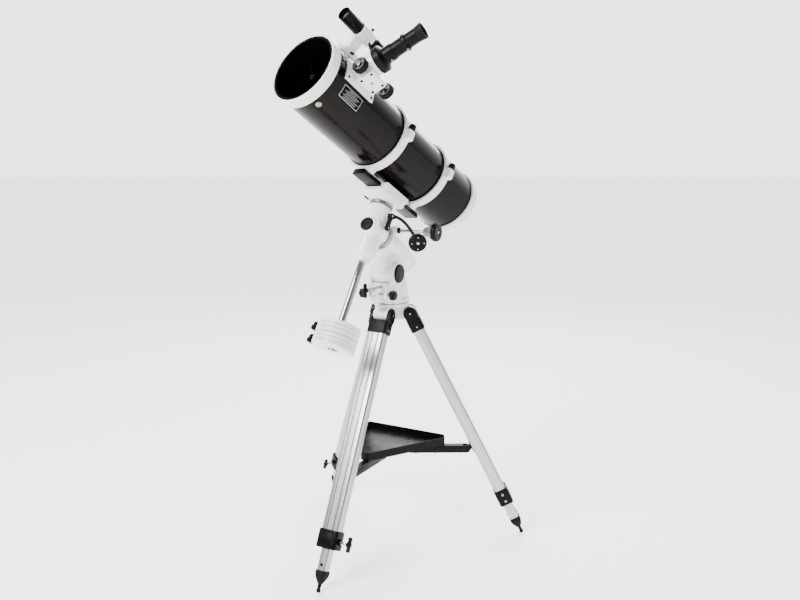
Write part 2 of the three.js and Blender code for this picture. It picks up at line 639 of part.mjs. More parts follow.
/** The slow-motion knob of the polar axis on its chrome rod. */
function polarSlowKnob() {
  const { rod: radius, boxTo, coneStart, coneEnd, rimEnd, coneRound, knob, along, above } = SLOW;
  return join(
    rod('y', radius, boxTo - 16, coneStart + 4, [along, above], 12),
    rod('y', coneRound, coneStart, coneEnd + 0.5, [along, above], 24, knob - 1),
    rod('y', knob, coneEnd, rimEnd, [along, above], 24, knob - 2),
  );
}

/** The setting circle of the polar axis. */
function polarCircle() {
  return ring('x', POLAR.circleHole, POLAR.circle, POLAR.circleEnd, POLAR.circleStart, [0, 0], 30);
}

/** Builds the mount below the polar axis and returns the frame of the two crossing axes. */
function buildBase(root) {
  const azimuth = frame(root, [0, 0, 0], 'z', MOUNT_AZIMUTH);
  add(azimuth, 'azimuth_base', azimuthBase(), WHITE);
  add(azimuth, 'latitude_axle', latitudeAxle(), BLACK);
  add(azimuth, 'azimuth_bolt_right', azimuthBolt(1), BLACK);
  add(azimuth, 'azimuth_bolt_left', azimuthBolt(-1), BLACK);
  add(azimuth, 'latitude_bolt_front', latitudeBoltFront(), BLACK);
  add(azimuth, 'latitude_bolt_rear', latitudeBoltRear(), BLACK);
  const tipped = frame(azimuth, [0, 0, POLAR_CROSSING], 'y', -LATITUDE);
  const junction = frame(tipped, [AXES_JUNCTION, 0, 0]);
  add(junction, 'polar_housing', polarHousing(), WHITE);
  add(junction, 'polar_circle', polarCircle(), SILVER);
  add(junction, 'polar_slow_knob', polarSlowKnob(), BLACK);
  return junction;
}

// ---------------------------------------------------------------- declination axis, weights, saddle

/** The declination housing: the crossing barrel, the polar spindle, the worm box and the lever boss. */
function decHousing() {
  const { body, top, waist, bottom, neck, head, headFrom, headTo, frontBoss, frontBossEnd } = DEC;
  const upright = turned('z', [
    [0, bottom], [neck, bottom], [neck, bottom + 8], [body, waist], [body, top - 4], [body - 3, top],
    [0, top],
  ]);
  const crossing = turned('x', [
    [0, headFrom], [head, headFrom], [head, headTo - 4], [frontBoss + 2, headTo],
    [frontBoss, frontBossEnd], [0, frontBossEnd],
  ]);
  const spindle = rod('x', POLAR.spindle, POLAR.start - 30, headFrom + 1, [0, 0], 24);
  const cap = rod('x', DEC.cap, frontBossEnd - 1, DEC.capEnd, [0, 0], 24);
  const worm = join(
    rod('y', DEC_SLOW.boxRound, DEC_SLOW.boxFrom, DEC_SLOW.boxTo - 5, [DEC_SLOW.along, DEC_SLOW.height], 16),
    rod('y', DEC_SLOW.shaft + 2.5, DEC_SLOW.boxTo - 6, DEC_SLOW.boxTo, [DEC_SLOW.along, DEC_SLOW.height], 12),
  );
  const boss = rod('y', LOCK.pivotRound - 2, 0, body + 3, [0, LOCK.height], 12);
  return cut(
    join(upright, crossing, spindle, cap, worm, boss),
    rod('z', WEIGHT.shaft + GAP, bottom - MARGIN, bottom + 24, [0, 0], 18),
    rod('z', DEC.spindle + RUNNING, top - 30, top + MARGIN, [0, 0], 24),
  );
}

/** The line of the flexible shaft, from the worm box to its knob. */
function flexLine() {
  const start = new THREE.Vector3(DEC_SLOW.along, DEC_SLOW.boxTo + GAP, DEC_SLOW.height);
  const aim = DEC_SLOW.aim.clone().normalize();
  const finish = DEC_SLOW.end.clone().addScaledVector(aim, -DEC_SLOW.coneLength);
  return new THREE.CubicBezierCurve3(
    start, start.clone().add(new THREE.Vector3(0, 52, 0)), finish.clone().addScaledVector(aim, -70), finish,
  );
}

/** The flexible shaft of the declination slow motion. */
function decFlexShaft() {
  const circle = new THREE.Shape().absarc(0, 0, DEC_SLOW.shaft, 0, 2 * Math.PI);
  return solid(new THREE.ExtrudeGeometry(circle, { steps: 14, curveSegments: 5, extrudePath: flexLine() }));
}

/** The frame whose +Z runs out of the flexible shaft's end. */
function decKnobFrame(parent) {
  const group = new THREE.Group();
  group.position.copy(flexLine().getPoint(1));
  group.quaternion.setFromUnitVectors(new THREE.Vector3(0, 0, 1), DEC_SLOW.aim.clone().normalize());
  parent.add(group);
  return group;
}

/** The declination slow-motion knob, along its own axis. */
function decSlowKnob() {
  const { knob, knobLength, coneLength, shaft } = DEC_SLOW;
  return turned('z', [
    [0, GAP], [shaft + 4, GAP], [knob - 1, coneLength], [knob, coneLength + 2],
    [knob, coneLength + knobLength - 4], [knob - 3, coneLength + knobLength],
    [0, coneLength + knobLength],
  ], [0, 0], 22);
}

/** The declination lock lever, hanging from its pivot. */
function decLock() {
  const { height, reach, pivotRound, pivotLength, wide, narrow, thick } = LOCK;
  const face = DEC.body + 3 + GAP;
  const arm = new THREE.Shape();
  arm.moveTo(-narrow / 2, height);
  arm.lineTo(-wide / 2, height - reach + 3);
  arm.lineTo(-wide / 2 + 3, height - reach);
  arm.lineTo(wide / 2 - 3, height - reach);
  arm.lineTo(wide / 2, height - reach + 3);
  arm.lineTo(narrow / 2, height);
  arm.closePath();
  return join(
    rod('y', pivotRound, face, face + pivotLength, [0, height], 12),
    slab('y', arm, face + 4, face + 4 + thick),
  );
}

/** A counterweight disc with a hole for its screw. */
function counterweight(bottom) {
  const { round, shaft, clearance, thick, edge } = WEIGHT;
  const hole = shaft + clearance;
  const top = bottom + thick;
  const middle = (bottom + top) / 2;
  const disc = turned('z', [
    [hole, bottom], [round - edge, bottom], [round, bottom + edge], [round, top - edge],
    [round - edge, top], [hole, top], [hole, bottom],
  ], [0, 0], 32);
  return cut(disc, rod('y', WEIGHT_KNOB.rod + RUNNING, -round - MARGIN, -round + 26, [0, middle], 10));
}

/** The lobed screw that clamps a counterweight. */
function counterweightKnob(bottom) {
  const middle = bottom + WEIGHT.thick / 2;
  const { rod: radius, knob, knobLength, lobe, standOff } = WEIGHT_KNOB;
  const face = -WEIGHT.round - standOff;
  return join(
    rod('y', radius, face - 1, -WEIGHT.round + 22, [0, middle], 10),
    lobedKnob('y', knob, lobe, 3, face - knobLength, face, [0, middle]),
  );
}

/** The saddle that holds the dovetail bar, with its spindle into the declination housing. */
function saddle() {
  const { bottom, neck, plateFrom, plateTo, jawTop, length, width, slotWidth } = SADDLE;
  const half = length / 2;
  const spindle = rod('z', DEC.spindle, DEC.top - 28, bottom + 1, [0, 0], 24);
  const cone = turned('z', [
    [0, bottom], [neck, bottom], [neck + 10, plateFrom], [neck + 10, plateTo - 2], [0, plateTo - 2],
  ]);
  const plate = slab('z', roundRectangle(length, width, 16), plateFrom, plateTo);
  const jaw = (side) => {
    const [y0, y1] = [side * (slotWidth / 2 - 6), side * (width / 2)].sort((a, b) => a - b);
    return block([-half + 6, half - 6], [y0, y1], [plateTo - 1, jawTop]);
  };
  const slot = slab('x', dovetailOutline(DOVETAIL.clearance), -half - MARGIN, half + MARGIN);
  const centre = [0, (plateTo + jawTop) / 2];
  return cut(
    join(spindle, cone, plate, jaw(1), jaw(-1)), slot,
    rod('y', SADDLE.screw + RUNNING, -width, -slotWidth / 2 + 6, centre, 12),
  );
}

/** The dovetail's section, wider below, grown by a clearance. */
function dovetailOutline(clearance) {
  const { bottom, top, width, narrow } = DOVETAIL;
  const [low, high] = [width / 2 + clearance, narrow / 2 + clearance];
  const [under, over] = [bottom - clearance, top + clearance];
  return [[-low, under], [low, under], [high, over], [-high, over]];
}

/** The saddle's clamp screw. */
function saddleKnob() {
  const { width, slotWidth, screw, knob, knobLength, knobGap, plateTo, jawTop } = SADDLE;
  const centre = [0, (plateTo + jawTop) / 2];
  const face = -width / 2 - knobGap;
  return join(
    rod('y', screw, face - 1, -slotWidth / 2 - 1.4, centre, 12),
    lobedKnob('y', knob, 4.2, 6, face - knobLength, face, centre),
  );
}

/** The dovetail bar under the tube rings. */
function dovetailBar() {
  const half = DOVETAIL.length / 2;
  return slab('x', dovetailOutline(0), DOVETAIL.shift - half, DOVETAIL.shift + half);
}

/** Builds the declination unit and returns the tube's frame, +X towards the sky. */
function buildDeclination(junction) {
  const polar = frame(junction, [0, 0, 0], 'x', HOUR_ANGLE);
  add(polar, 'dec_housing', decHousing(), WHITE);
  add(polar, 'dec_flex_shaft', decFlexShaft(), BLACK);
  add(decKnobFrame(polar), 'dec_slow_knob', decSlowKnob(), BLACK);
  add(polar, 'dec_lock_lever', decLock(), BLACK);
  const { spindle, circle, circleFrom, circleTo } = DEC;
  add(polar, 'dec_circle', ring('z', spindle + RUNNING, circle, circleFrom, circleTo), SILVER);
  const shaft = rod('z', WEIGHT.shaft, WEIGHT.shaftEnd, DEC.bottom + 22, [0, 0], 18);
  add(polar, 'counterweight_shaft', shaft, CHROME);
  const lower = WEIGHT.bottom;
  const upper = lower + WEIGHT.thick + WEIGHT.between;
  for (const [name, bottom] of [['lower', lower], ['upper', upper]]) {
    add(polar, `counterweight_${name}`, counterweight(bottom), WHITE);
    add(polar, `counterweight_knob_${name}`, counterweightKnob(bottom), BLACK);
  }
  const turning = frame(polar, [0, 0, 0], 'z', DECLINATION_TURN);
  add(turning, 'saddle', saddle(), WHITE);
  add(turning, 'saddle_knob', saddleKnob(), BLACK);
  add(turning, 'dovetail_bar', dovetailBar(), BLACK);
  return frame(turning, [0, 0, TUBE.height]);
}

// ---------------------------------------------------------------- rings, in the tube's frame

/** The lower half of a tube ring, with its foot, its clamp block and the hinge ears and pin. */
function ringLower(at) {
  const { inside, outside, width, hinge, knuckle, pin, ear, block: reach, blockHeight, boltOut, bolt } = RING;
  const [x0, x1] = [at - width / 2, at + width / 2];
  const half = cut(
    ring('x', inside, outside, x0, x1, [0, 0], 40), block([x0 - 1, x1 + 1], [-130, 130], [-GAP / 2, 130]),
  );
  const footTop = -Math.sqrt(outside ** 2 - (RING.footWidth / 2) ** 2) + 3;
  const foot = block(
    [x0, x1], [-RING.footWidth / 2, RING.footWidth / 2], [DOVETAIL.top + GAP - TUBE.height, footTop],
  );
  const clampBlock = block([x0 + 3, x1 - 3], [outside - 3, outside + reach], [-blockHeight, -GAP / 2]);
  const earAt = (from, to) => join(
    rod('x', knuckle, from, to, [-hinge, 0], 12),
    block([from, to], [-hinge, -outside + 2], [-knuckle * 2, -1.5]),
  );
  return cut(
    join(
      half, foot, clampBlock, earAt(at + ear, x1), earAt(x0, at - ear),
      rod('x', pin, x0, x1, [-hinge, 0], 8),
    ),
    rod('z', bolt + 0.8, -blockHeight - MARGIN, MARGIN, [at, boltOut], 10),
  );
}

/** The upper half of a tube ring, which swings open on its hinge. */
function ringUpper(at) {
  const { inside, outside, width, hinge, knuckle, pin, ear, block: reach, blockHeight, boltOut, bolt } = RING;
  const [x0, x1] = [at - width / 2, at + width / 2];
  const half = cut(
    ring('x', inside, outside, x0, x1, [0, 0], 40), block([x0 - 1, x1 + 1], [-130, 130], [-130, GAP / 2]),
  );
  const clampBlock = block([x0 + 3, x1 - 3], [outside - 3, outside + reach], [GAP / 2, blockHeight]);
  const [e0, e1] = [at - ear + GAP, at + ear - GAP];
  const tongue = join(
    rod('x', knuckle, e0, e1, [-hinge, 0], 12),
    block([e0, e1], [-hinge, -outside + 2], [1.5, knuckle * 2]),
  );
  return cut(
    join(half, clampBlock, tongue),
    rod('x', pin + RUNNING, x0 - 1, x1 + 1, [-hinge, 0], 8),
    rod('z', bolt + RUNNING, -MARGIN, blockHeight + MARGIN, [at, boltOut], 10),
  );
}

/** The screw that clamps a ring shut. */
function ringKnob(at) {
  const { boltOut, bolt, blockHeight, knob, knobHeight } = RING;
  const top = blockHeight + GAP;
  return join(
    rod('z', bolt, -blockHeight + 2, top + 2, [at, boltOut], 10),
    lobedKnob('z', knob, 2.8, 7, top, top + knobHeight, [at, boltOut]),
  );
}

// ---------------------------------------------------------------- tube, in the tube's frame

/** The steel tube, with the focuser's hole and four holes for the spider's screws. */
function tubeShell() {
  const rear = TUBE.front - TUBE.length + REAR_CELL.plate + GAP;
  const front = TUBE.front - FRONT_RING.lipThick - GAP;
  const shell = ring('x', TUBE.round - TUBE.wall, TUBE.round, rear, front, [0, 0], 44);
  const drill = (radius, at, sides) => rod('z', radius, TUBE.round / 2, TUBE.round + MARGIN, [at, 0], sides);
  const focuserHole = drill(FOCUS.hole, FOCUS.at, 20);
  const screwHole = drill(SPIDER.screw + RUNNING, SPIDER.at, 8);
  const aimed = (tool, degrees) => moved(tool, turn('x', degrees - FOCUS.angle));
  return cut(shell, aimed(focuserHole, 0), ...[0, 90, 180, 270].map((degrees) => aimed(screwHole, degrees)));
}

/** The front end ring, with its rolled lip. */
function frontRing() {
  const { round, band, lip, lipThick, face } = FRONT_RING;
  const seat = TUBE.round + GAP;
  const front = TUBE.front;
  return turned('x', [
    [seat, front - band], [round - 1.5, front - band], [round, front - band + 2], [round, front - face],
    [round - face, front], [lip, front], [lip, front - lipThick], [seat, front - lipThick],
    [seat, front - band],
  ], [0, 0], 44);
}

/** The rear cell: the end ring and its back plate with three openings and the mirror's three pads. */
function rearCell() {
  const { round, band, plate, hole, ringRadius, pad } = REAR_CELL;
  const seat = TUBE.round + GAP;
  const rear = TUBE.front - TUBE.length;
  const cup = turned('x', [
    [0, rear], [round - 3, rear], [round, rear + 3], [round, rear + band - 1.5], [round - 1.5, rear + band],
    [seat, rear + band], [seat, rear + plate], [0, rear + plate],
  ], [0, 0], 44);
  const threeAround = (first, radius, from, to, sides) => [first, first + 120, first + 240].map((degrees) => {
    const angle = THREE.MathUtils.degToRad(degrees);
    return rod('x', radius, from, to, [ringRadius * Math.cos(angle), ringRadius * Math.sin(angle)], sides);
  });
  const openings = threeAround(60, hole, rear - MARGIN, rear + plate + MARGIN, 16);
  const pads = threeAround(0, pad, rear + plate - 1, rear + plate + MIRROR.behind - GAP, 10);
  return join(cut(cup, ...openings), ...pads);
}

/** The primary mirror, with a dished face. */
function primaryMirror() {
  const { round, thick, behind, dish } = MIRROR;
  const back = TUBE.front - TUBE.length + REAR_CELL.plate + behind;
  const face = back + thick;
  const bowl = [1, 0.7, 0.4, 0].map((share) => [round * share, face - dish * (1 - share ** 2)]);
  return turned('x', [[0, back], [round, back], ...bowl], [0, 0], 28);
}

/** Lays a flat layer made at the origin where the small mirror's face is, 45 degrees to the tube. */
const mirrorPlace = () => new THREE.Matrix4().makeTranslation(FOCUS.at, 0, 0)
  .multiply(turn('x', -FOCUS.angle)).multiply(turn('y', 45));

/** The spider: four vanes, their outside nuts, and the stem and holder behind the small mirror. */
function spider() {
  const { at, depth, vane, stem, holderEnd, nut, nutFrom, nutTo, screw } = SPIDER;
  const inside = TUBE.round - TUBE.wall - GAP;
  const { minor, thick } = SECONDARY;
  const wide = [-4 * minor, 4 * minor];
  const layer = moved(block([-4 * minor, thick + GAP], wide, wide), mirrorPlace());
  const holder = cut(rod('x', minor, FOCUS.at - minor, holderEnd, [0, 0], 24), layer);
  const arm = join(
    block([at - depth / 2, at + depth / 2], [-vane / 2, vane / 2], [0, inside]),
    rod('z', screw, inside - 6, nutTo - 1, [at, 0], 8),
    rod('z', nut, nutFrom, nutTo, [at, 0], 12, nut - 1.5),
  );
  const arms = [0, 90, 180, 270].map((degrees) => moved(arm, turn('x', degrees - FOCUS.angle)));
  return join(holder, rod('x', stem, holderEnd - 6, at + depth / 2 + 4, [0, 0], 16), ...arms);
}

/** The small flat mirror, tipped 45 degrees towards the focuser. */
function secondaryMirror() {
  const { minor, thick } = SECONDARY;
  const layer = moved(block([0, thick], [-4 * minor, 4 * minor], [-4 * minor, 4 * minor]), mirrorPlace());
  return layer.intersect(rod('x', minor, FOCUS.at - 3 * minor, FOCUS.at + 3 * minor, [0, 0], 24));
}

// ---------------------------------------------------------------- focuser and finder, +Z out of the tube

/** The focuser's body: a plate curved to the tube, a collar, and the pinion housing. */
function focuserBody() {
  const {
    baseNear, baseFar, baseLength, baseTop, collar, collarFoot, collarTop, clearance, blockHalf,
    blockFrom, blockTop, blockOut,
  } = FOCUS;
  const seat = TUBE.round + GAP;
  const curve = ring('x', seat, baseTop, -baseLength / 2, baseLength / 2, [0, 0], 48);
  const plate = curve.intersect(block([-baseLength, baseLength], [-baseFar, baseNear], [0, baseTop + 1]));
  const neck = turned('z', [
    [0, TUBE.round - 8], [collarFoot, TUBE.round - 8], [collarFoot, baseTop + 3], [collar, baseTop + 12],
    [collar, collarTop], [0, collarTop],
  ]);
  const { shaft, out, height, shift, pinion, pinionHalf } = KNOBS;
  const housing = slab('x', [
    [0, blockFrom], [blockOut - 3, blockFrom], [blockOut, blockFrom + 8], [blockOut, blockTop - 8],
    [blockOut - 8, blockTop], [0, blockTop],
  ], shift - blockHalf, shift + blockHalf);
  const rackHalf = DRAWTUBE.rackWidth / 2 + RUNNING;
  const rackTop = DRAWTUBE.round + DRAWTUBE.rack;
  return cut(
    join(plate, neck, housing),
    rod('x', seat, -baseLength, baseLength, [0, 0], 48),
    rod('z', DRAWTUBE.round + clearance, 0, collarTop + MARGIN, [0, 0], 26),
    rod('x', shaft + RUNNING, -baseLength, baseLength, [out, height], 10),
    rod('x', pinion + 0.8, -pinionHalf - 1, pinionHalf + 1, [out, height], 16),
    block([-rackHalf, rackHalf], [0, rackTop + RUNNING], [TUBE.round - 10, collarTop + MARGIN]),
  );
}

/** The drawtube: rack, flange, barrel and eyepiece adapter with two thumbscrews. */
function drawtube() {
  const {
    round, bottom, wall, flange, flangeHeight, flare, barrel, barrelTop, adapter, adapterTop,
    ring: rim, ringFrom, bore, rackWidth, rack, screw, screwOut, screwAt,
  } = DRAWTUBE;
  const seat = FOCUS.collarTop + FOCUS.travelSeat;
  const rimTop = seat + flangeHeight;
  const body = turned('z', [
    [round - wall, bottom], [round, bottom], [round, seat], [flange, seat], [flange, rimTop],
    [barrel, rimTop + flare], [barrel, barrelTop], [adapter, barrelTop], [adapter, ringFrom],
    [rim, ringFrom], [rim, adapterTop], [bore, adapterTop], [bore, rimTop + 2],
    [round - wall, rimTop - 8], [round - wall, bottom],
  ]);
  const teeth = block([-rackWidth / 2, rackWidth / 2], [round - 1.5, round + rack], [bottom, seat - 1]);
  const screws = screwAt.map((height) => rod('y', screw, bore + 1, screwOut, [0, height], 8));
  return join(body, teeth, ...screws);
}

/** The pinion shaft with a focusing knob at each end. */
function focusKnobs() {
  const { shaft, out, height, shift, halfGap, knob, knobLength, hub, hubOut, pinion, pinionHalf } = KNOBS;
  const centre = [out, height];
  const knobAt = (from) => join(
    rod('x', knob, from, from + knobLength, centre, 22),
    rod('x', hub, from - hubOut, from + knobLength + hubOut, centre, 12),
  );
  return join(
    rod('x', shaft, shift - halfGap - 2, shift + halfGap + 2, centre, 10),
    rod('x', pinion - 0.1, -pinionHalf, pinionHalf, centre, 16),
    knobAt(shift + halfGap), knobAt(shift - halfGap - knobLength),
  );
}

/** The eyepiece, pushed into the adapter. */
function eyepiece() {
  const { barrel, barrelFrom, body, bodyTop, cup, cupFrom, lens, lensDepth } = EYEPIECE;
  const seat = DRAWTUBE.adapterTop + GAP;
  return turned('z', [
    [0, barrelFrom], [barrel, barrelFrom], [barrel, seat], [body, seat], [body, cupFrom],
    [cup, bodyTop], [cup - 2.5, bodyTop], [lens, bodyTop - lensDepth], [0, bodyTop - lensDepth],
  ], [0, 0], 20);
}

/** The finder's bracket: its sleeve with a plunger and two screws, the stalk, and the shoe on the tube. */
function finderBracket() {
  const {
    ringFrom, ringTo, outside, inside, stalkFrom, stalkTo, stalk, shoeFrom, shoeTo, shoe, shoeTop,
    shoeBottom, plunger, plungerAt, plungerOut, screw, screwAt, screwOut, screwAngle, shoeBolt,
    shoeBoltOut,
  } = FINDER_MOUNT;
  const { out, tube } = FINDER;
  const reach = tube + FINDER_MOUNT.screwGap;
  const sleeve = ring('x', inside, outside, ringFrom, ringTo, [0, out], 24);
  const post = block([stalkFrom, stalkTo], [-stalk, stalk], [shoeTop - 2, out - inside - 1]);
  const foot = slab('x', [
    [-shoe, 0], [shoe, 0], [shoe, shoeTop - 8], [shoe - 4, shoeTop], [-shoe + 4, shoeTop],
    [-shoe, shoeTop - 8],
  ], shoeFrom, shoeTo);
  const radial = (radius, at, from, to, degrees) => moved(
    rod('z', radius, from, to, [at, 0], 8),
    new THREE.Matrix4().makeTranslation(0, 0, out).multiply(turn('x', -degrees)),
  );
  return cut(
    join(
      sleeve, post, foot, radial(plunger, plungerAt, reach, plungerOut, 0),
      radial(screw, screwAt, reach, screwOut, screwAngle),
      radial(screw, screwAt, reach, screwOut, -screwAngle),
      rod('y', shoeBolt, 0, shoeBoltOut, [(shoeFrom + shoeTo) / 2, shoeTop - 6], 10),
    ),
    rod('x', shoeBottom, shoeFrom - MARGIN, shoeTo + MARGIN, [0, 0], 48),
  );
}

/** The finder: dew shade, body tube and eyepiece end. */
function finder() {
  const {
    out, front, shade, shadeLength, wall, glassDepth, tube, rear, cup, cupLength, cupHole, cupDepth,
  } = FINDER;
  return turned('x', [
    [0, rear + cupDepth], [cupHole, rear + cupDepth], [cupHole, rear], [cup, rear], [cup, rear + cupLength],
    [tube, rear + cupLength + 3], [tube, front - shadeLength - 2], [shade, front - shadeLength],
    [shade, front], [shade - wall, front], [shade - wall, front - glassDepth], [0, front - glassDepth],
  ], [0, out], 20);
}

/** Builds the rings, the tube and all that it carries. */
function buildTube(group) {
  const ringPlaces = { front: DOVETAIL.shift + RING.spacing / 2, rear: DOVETAIL.shift - RING.spacing / 2 };
  for (const [name, at] of Object.entries(ringPlaces)) {
    add(group, `ring_lower_${name}`, ringLower(at), WHITE);
    add(group, `ring_upper_${name}`, ringUpper(at), WHITE);
    add(group, `ring_knob_${name}`, ringKnob(at), BLACK);
  }
  add(group, 'tube_shell', tubeShell(), TUBE_BLACK);
  add(group, 'front_ring', frontRing(), WHITE);
  add(group, 'rear_cell', rearCell(), WHITE);
  add(group, 'primary_mirror', primaryMirror(), MIRROR_GLASS);
  add(group, 'spider', spider(), BLACK);
  add(group, 'secondary_mirror', secondaryMirror(), MIRROR_GLASS);
  const focuser = frame(group, [FOCUS.at, 0, 0], 'x', -FOCUS.angle);
  add(focuser, 'focuser_body', focuserBody(), WHITE);
  add(focuser, 'drawtube', drawtube(), BLACK);
  add(focuser, 'focus_knobs', focusKnobs(), SILVER);
  add(focuser, 'eyepiece', eyepiece(), BLACK);
  const side = frame(group, [0, 0, 0], 'x', -FINDER.angle);
  add(side, 'finder_bracket', finderBracket(), WHITE);
  add(side, 'finder', finder(), BLACK);
}

// ---------------------------------------------------------------- the whole object

const telescope = new THREE.Group();
const standing = new THREE.Group();
telescope.add(standing);
buildTripod(standing);
buildTube(buildDeclination(buildBase(standing)));

// The origin goes on the ground, below the middle of the whole object's box.
const limits = new THREE.Box3().setFromObject(standing, true);
standing.position.set(-(limits.min.x + limits.max.x) / 2, -(limits.min.y + limits.max.y) / 2, -limits.min.z);

export default telescope;
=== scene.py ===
"""Looks for a reflecting telescope on a small equatorial mount and an aluminium tripod.

Every sub-assembly is a class that holds its sizes in millimetres, in the local frame of the joint it
turns on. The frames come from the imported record's joints, so each piece lies where its solid lies.
"""

import json
import logging
import math
from collections.abc import Callable, Sequence
from dataclasses import dataclass
from enum import Enum

import bmesh
import bpy
from mathutils import Matrix, Vector


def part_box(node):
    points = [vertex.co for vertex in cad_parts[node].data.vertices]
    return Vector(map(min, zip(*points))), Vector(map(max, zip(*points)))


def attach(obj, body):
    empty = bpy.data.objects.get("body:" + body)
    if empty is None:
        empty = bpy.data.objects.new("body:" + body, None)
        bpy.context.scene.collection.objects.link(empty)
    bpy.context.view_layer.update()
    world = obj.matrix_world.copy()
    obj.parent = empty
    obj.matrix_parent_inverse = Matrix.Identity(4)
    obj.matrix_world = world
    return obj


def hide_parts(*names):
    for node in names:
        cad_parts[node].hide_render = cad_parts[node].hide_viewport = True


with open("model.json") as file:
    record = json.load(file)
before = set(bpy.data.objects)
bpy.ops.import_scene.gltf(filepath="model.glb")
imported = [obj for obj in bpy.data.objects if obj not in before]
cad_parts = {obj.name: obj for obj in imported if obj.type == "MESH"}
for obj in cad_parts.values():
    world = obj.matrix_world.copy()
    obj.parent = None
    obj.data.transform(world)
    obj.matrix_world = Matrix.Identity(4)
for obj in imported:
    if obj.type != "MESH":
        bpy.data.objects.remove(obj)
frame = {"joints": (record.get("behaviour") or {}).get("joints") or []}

LOG = logging.getLogger("telescope")
MM = 0.001
Point = tuple[float, float]
Outline = Sequence[Point]
Colour = tuple[float, float, float]
Inputs = dict[str | int, object]


class Axis(Enum):
    """The local axis that a shape is made along."""

    X = "X"
    Y = "Y"
    Z = "Z"

    def lay(self, u: float, v: float, along: float) -> Vector:
        """The local point at u, v across this axis and at a place along it."""
        if self is Axis.X:
            return Vector((along, u, v))
        if self is Axis.Y:
            return Vector((u, along, v))
        return Vector((u, v, along))

    @property
    def stand(self) -> Matrix:
        """The turn that stands Z along this axis."""
        return Vector((0, 0, 1)).rotation_difference(self.lay(0, 0, 1)).to_matrix().to_4x4()


# ------------------------------------------------------------------ nodes


class Kind:
    """The node types that are used more than once."""

    NOISE = "ShaderNodeTexNoise"
    MATH = "ShaderNodeMath"
    RANGE = "ShaderNodeMapRange"
    GEOMETRY = "ShaderNodeNewGeometry"
    COMBINE = "ShaderNodeCombineXYZ"
    ATTRIBUTE = "ShaderNodeAttribute"
    FLOAT = "NodeSocketFloat"
    WHOLE = "NodeSocketInt"
    VECTOR = "NodeSocketVector"
    SHAPE = "NodeSocketGeometry"


def node(tree: bpy.types.NodeTree, kind: str, inputs: Inputs | None = None,
         **settings: object) -> bpy.types.Node:
    """Adds a node.

    Args:
        tree: the tree that it goes in.
        kind: its type.
        inputs: input name or index to the socket that feeds it, or to its value.
        settings: the node's own properties.

    Returns:
        The node.
    """
    made = tree.nodes.new(kind)
    for key, value in settings.items():
        setattr(made, key, value)
    for key, value in (inputs or {}).items():
        if isinstance(value, bpy.types.NodeSocket):
            tree.links.new(value, made.inputs[key])
        else:
            made.inputs[key].default_value = value
    return made


def product(tree: bpy.types.NodeTree, first: object, second: object) -> bpy.types.NodeSocket:
    """Multiplies two values."""
    return node(tree, Kind.MATH, {0: first, 1: second}, operation="MULTIPLY").outputs[0]


def spread(tree: bpy.types.NodeTree, value: bpy.types.NodeSocket, low: float,
           high: float) -> bpy.types.NodeSocket:
    """Maps a value so that low gives 0 and high gives 1."""
    return node(tree, Kind.RANGE, {"Value": value, "From Min": low, "From Max": high}).outputs["Result"]


def group(
    name: str, kind: str, inputs: dict[str, tuple[str, object]], outputs: dict[str, str],
    fill: Callable[[bpy.types.NodeTree, bpy.types.NodeOutputs], dict[str, bpy.types.NodeSocket]],
) -> bpy.types.NodeTree:
    """Finds a node group, or builds it.

    Args:
        name: the group's name.
        kind: the type of tree.
        inputs: input name to its socket type and default, None where it has no default.
        outputs: output name to its socket type.
        fill: builds the inside from the tree and the group's inputs, and gives a socket for each output.

    Returns:
        The group.
    """
    tree = bpy.data.node_groups.get(name)
    if tree:
        return tree
    tree = bpy.data.node_groups.new(name, kind)
    for key, (socket, value) in inputs.items():
        made = tree.interface.new_socket(name=key, in_out="INPUT", socket_type=socket)
        if value is not None:
            made.default_value = value
    for key, socket in outputs.items():
        tree.interface.new_socket(name=key, in_out="OUTPUT", socket_type=socket)
    start, end = tree.nodes.new("NodeGroupInput"), tree.nodes.new("NodeGroupOutput")
    for key, socket in fill(tree, start.outputs).items():
        tree.links.new(socket, end.inputs[key])
    return tree


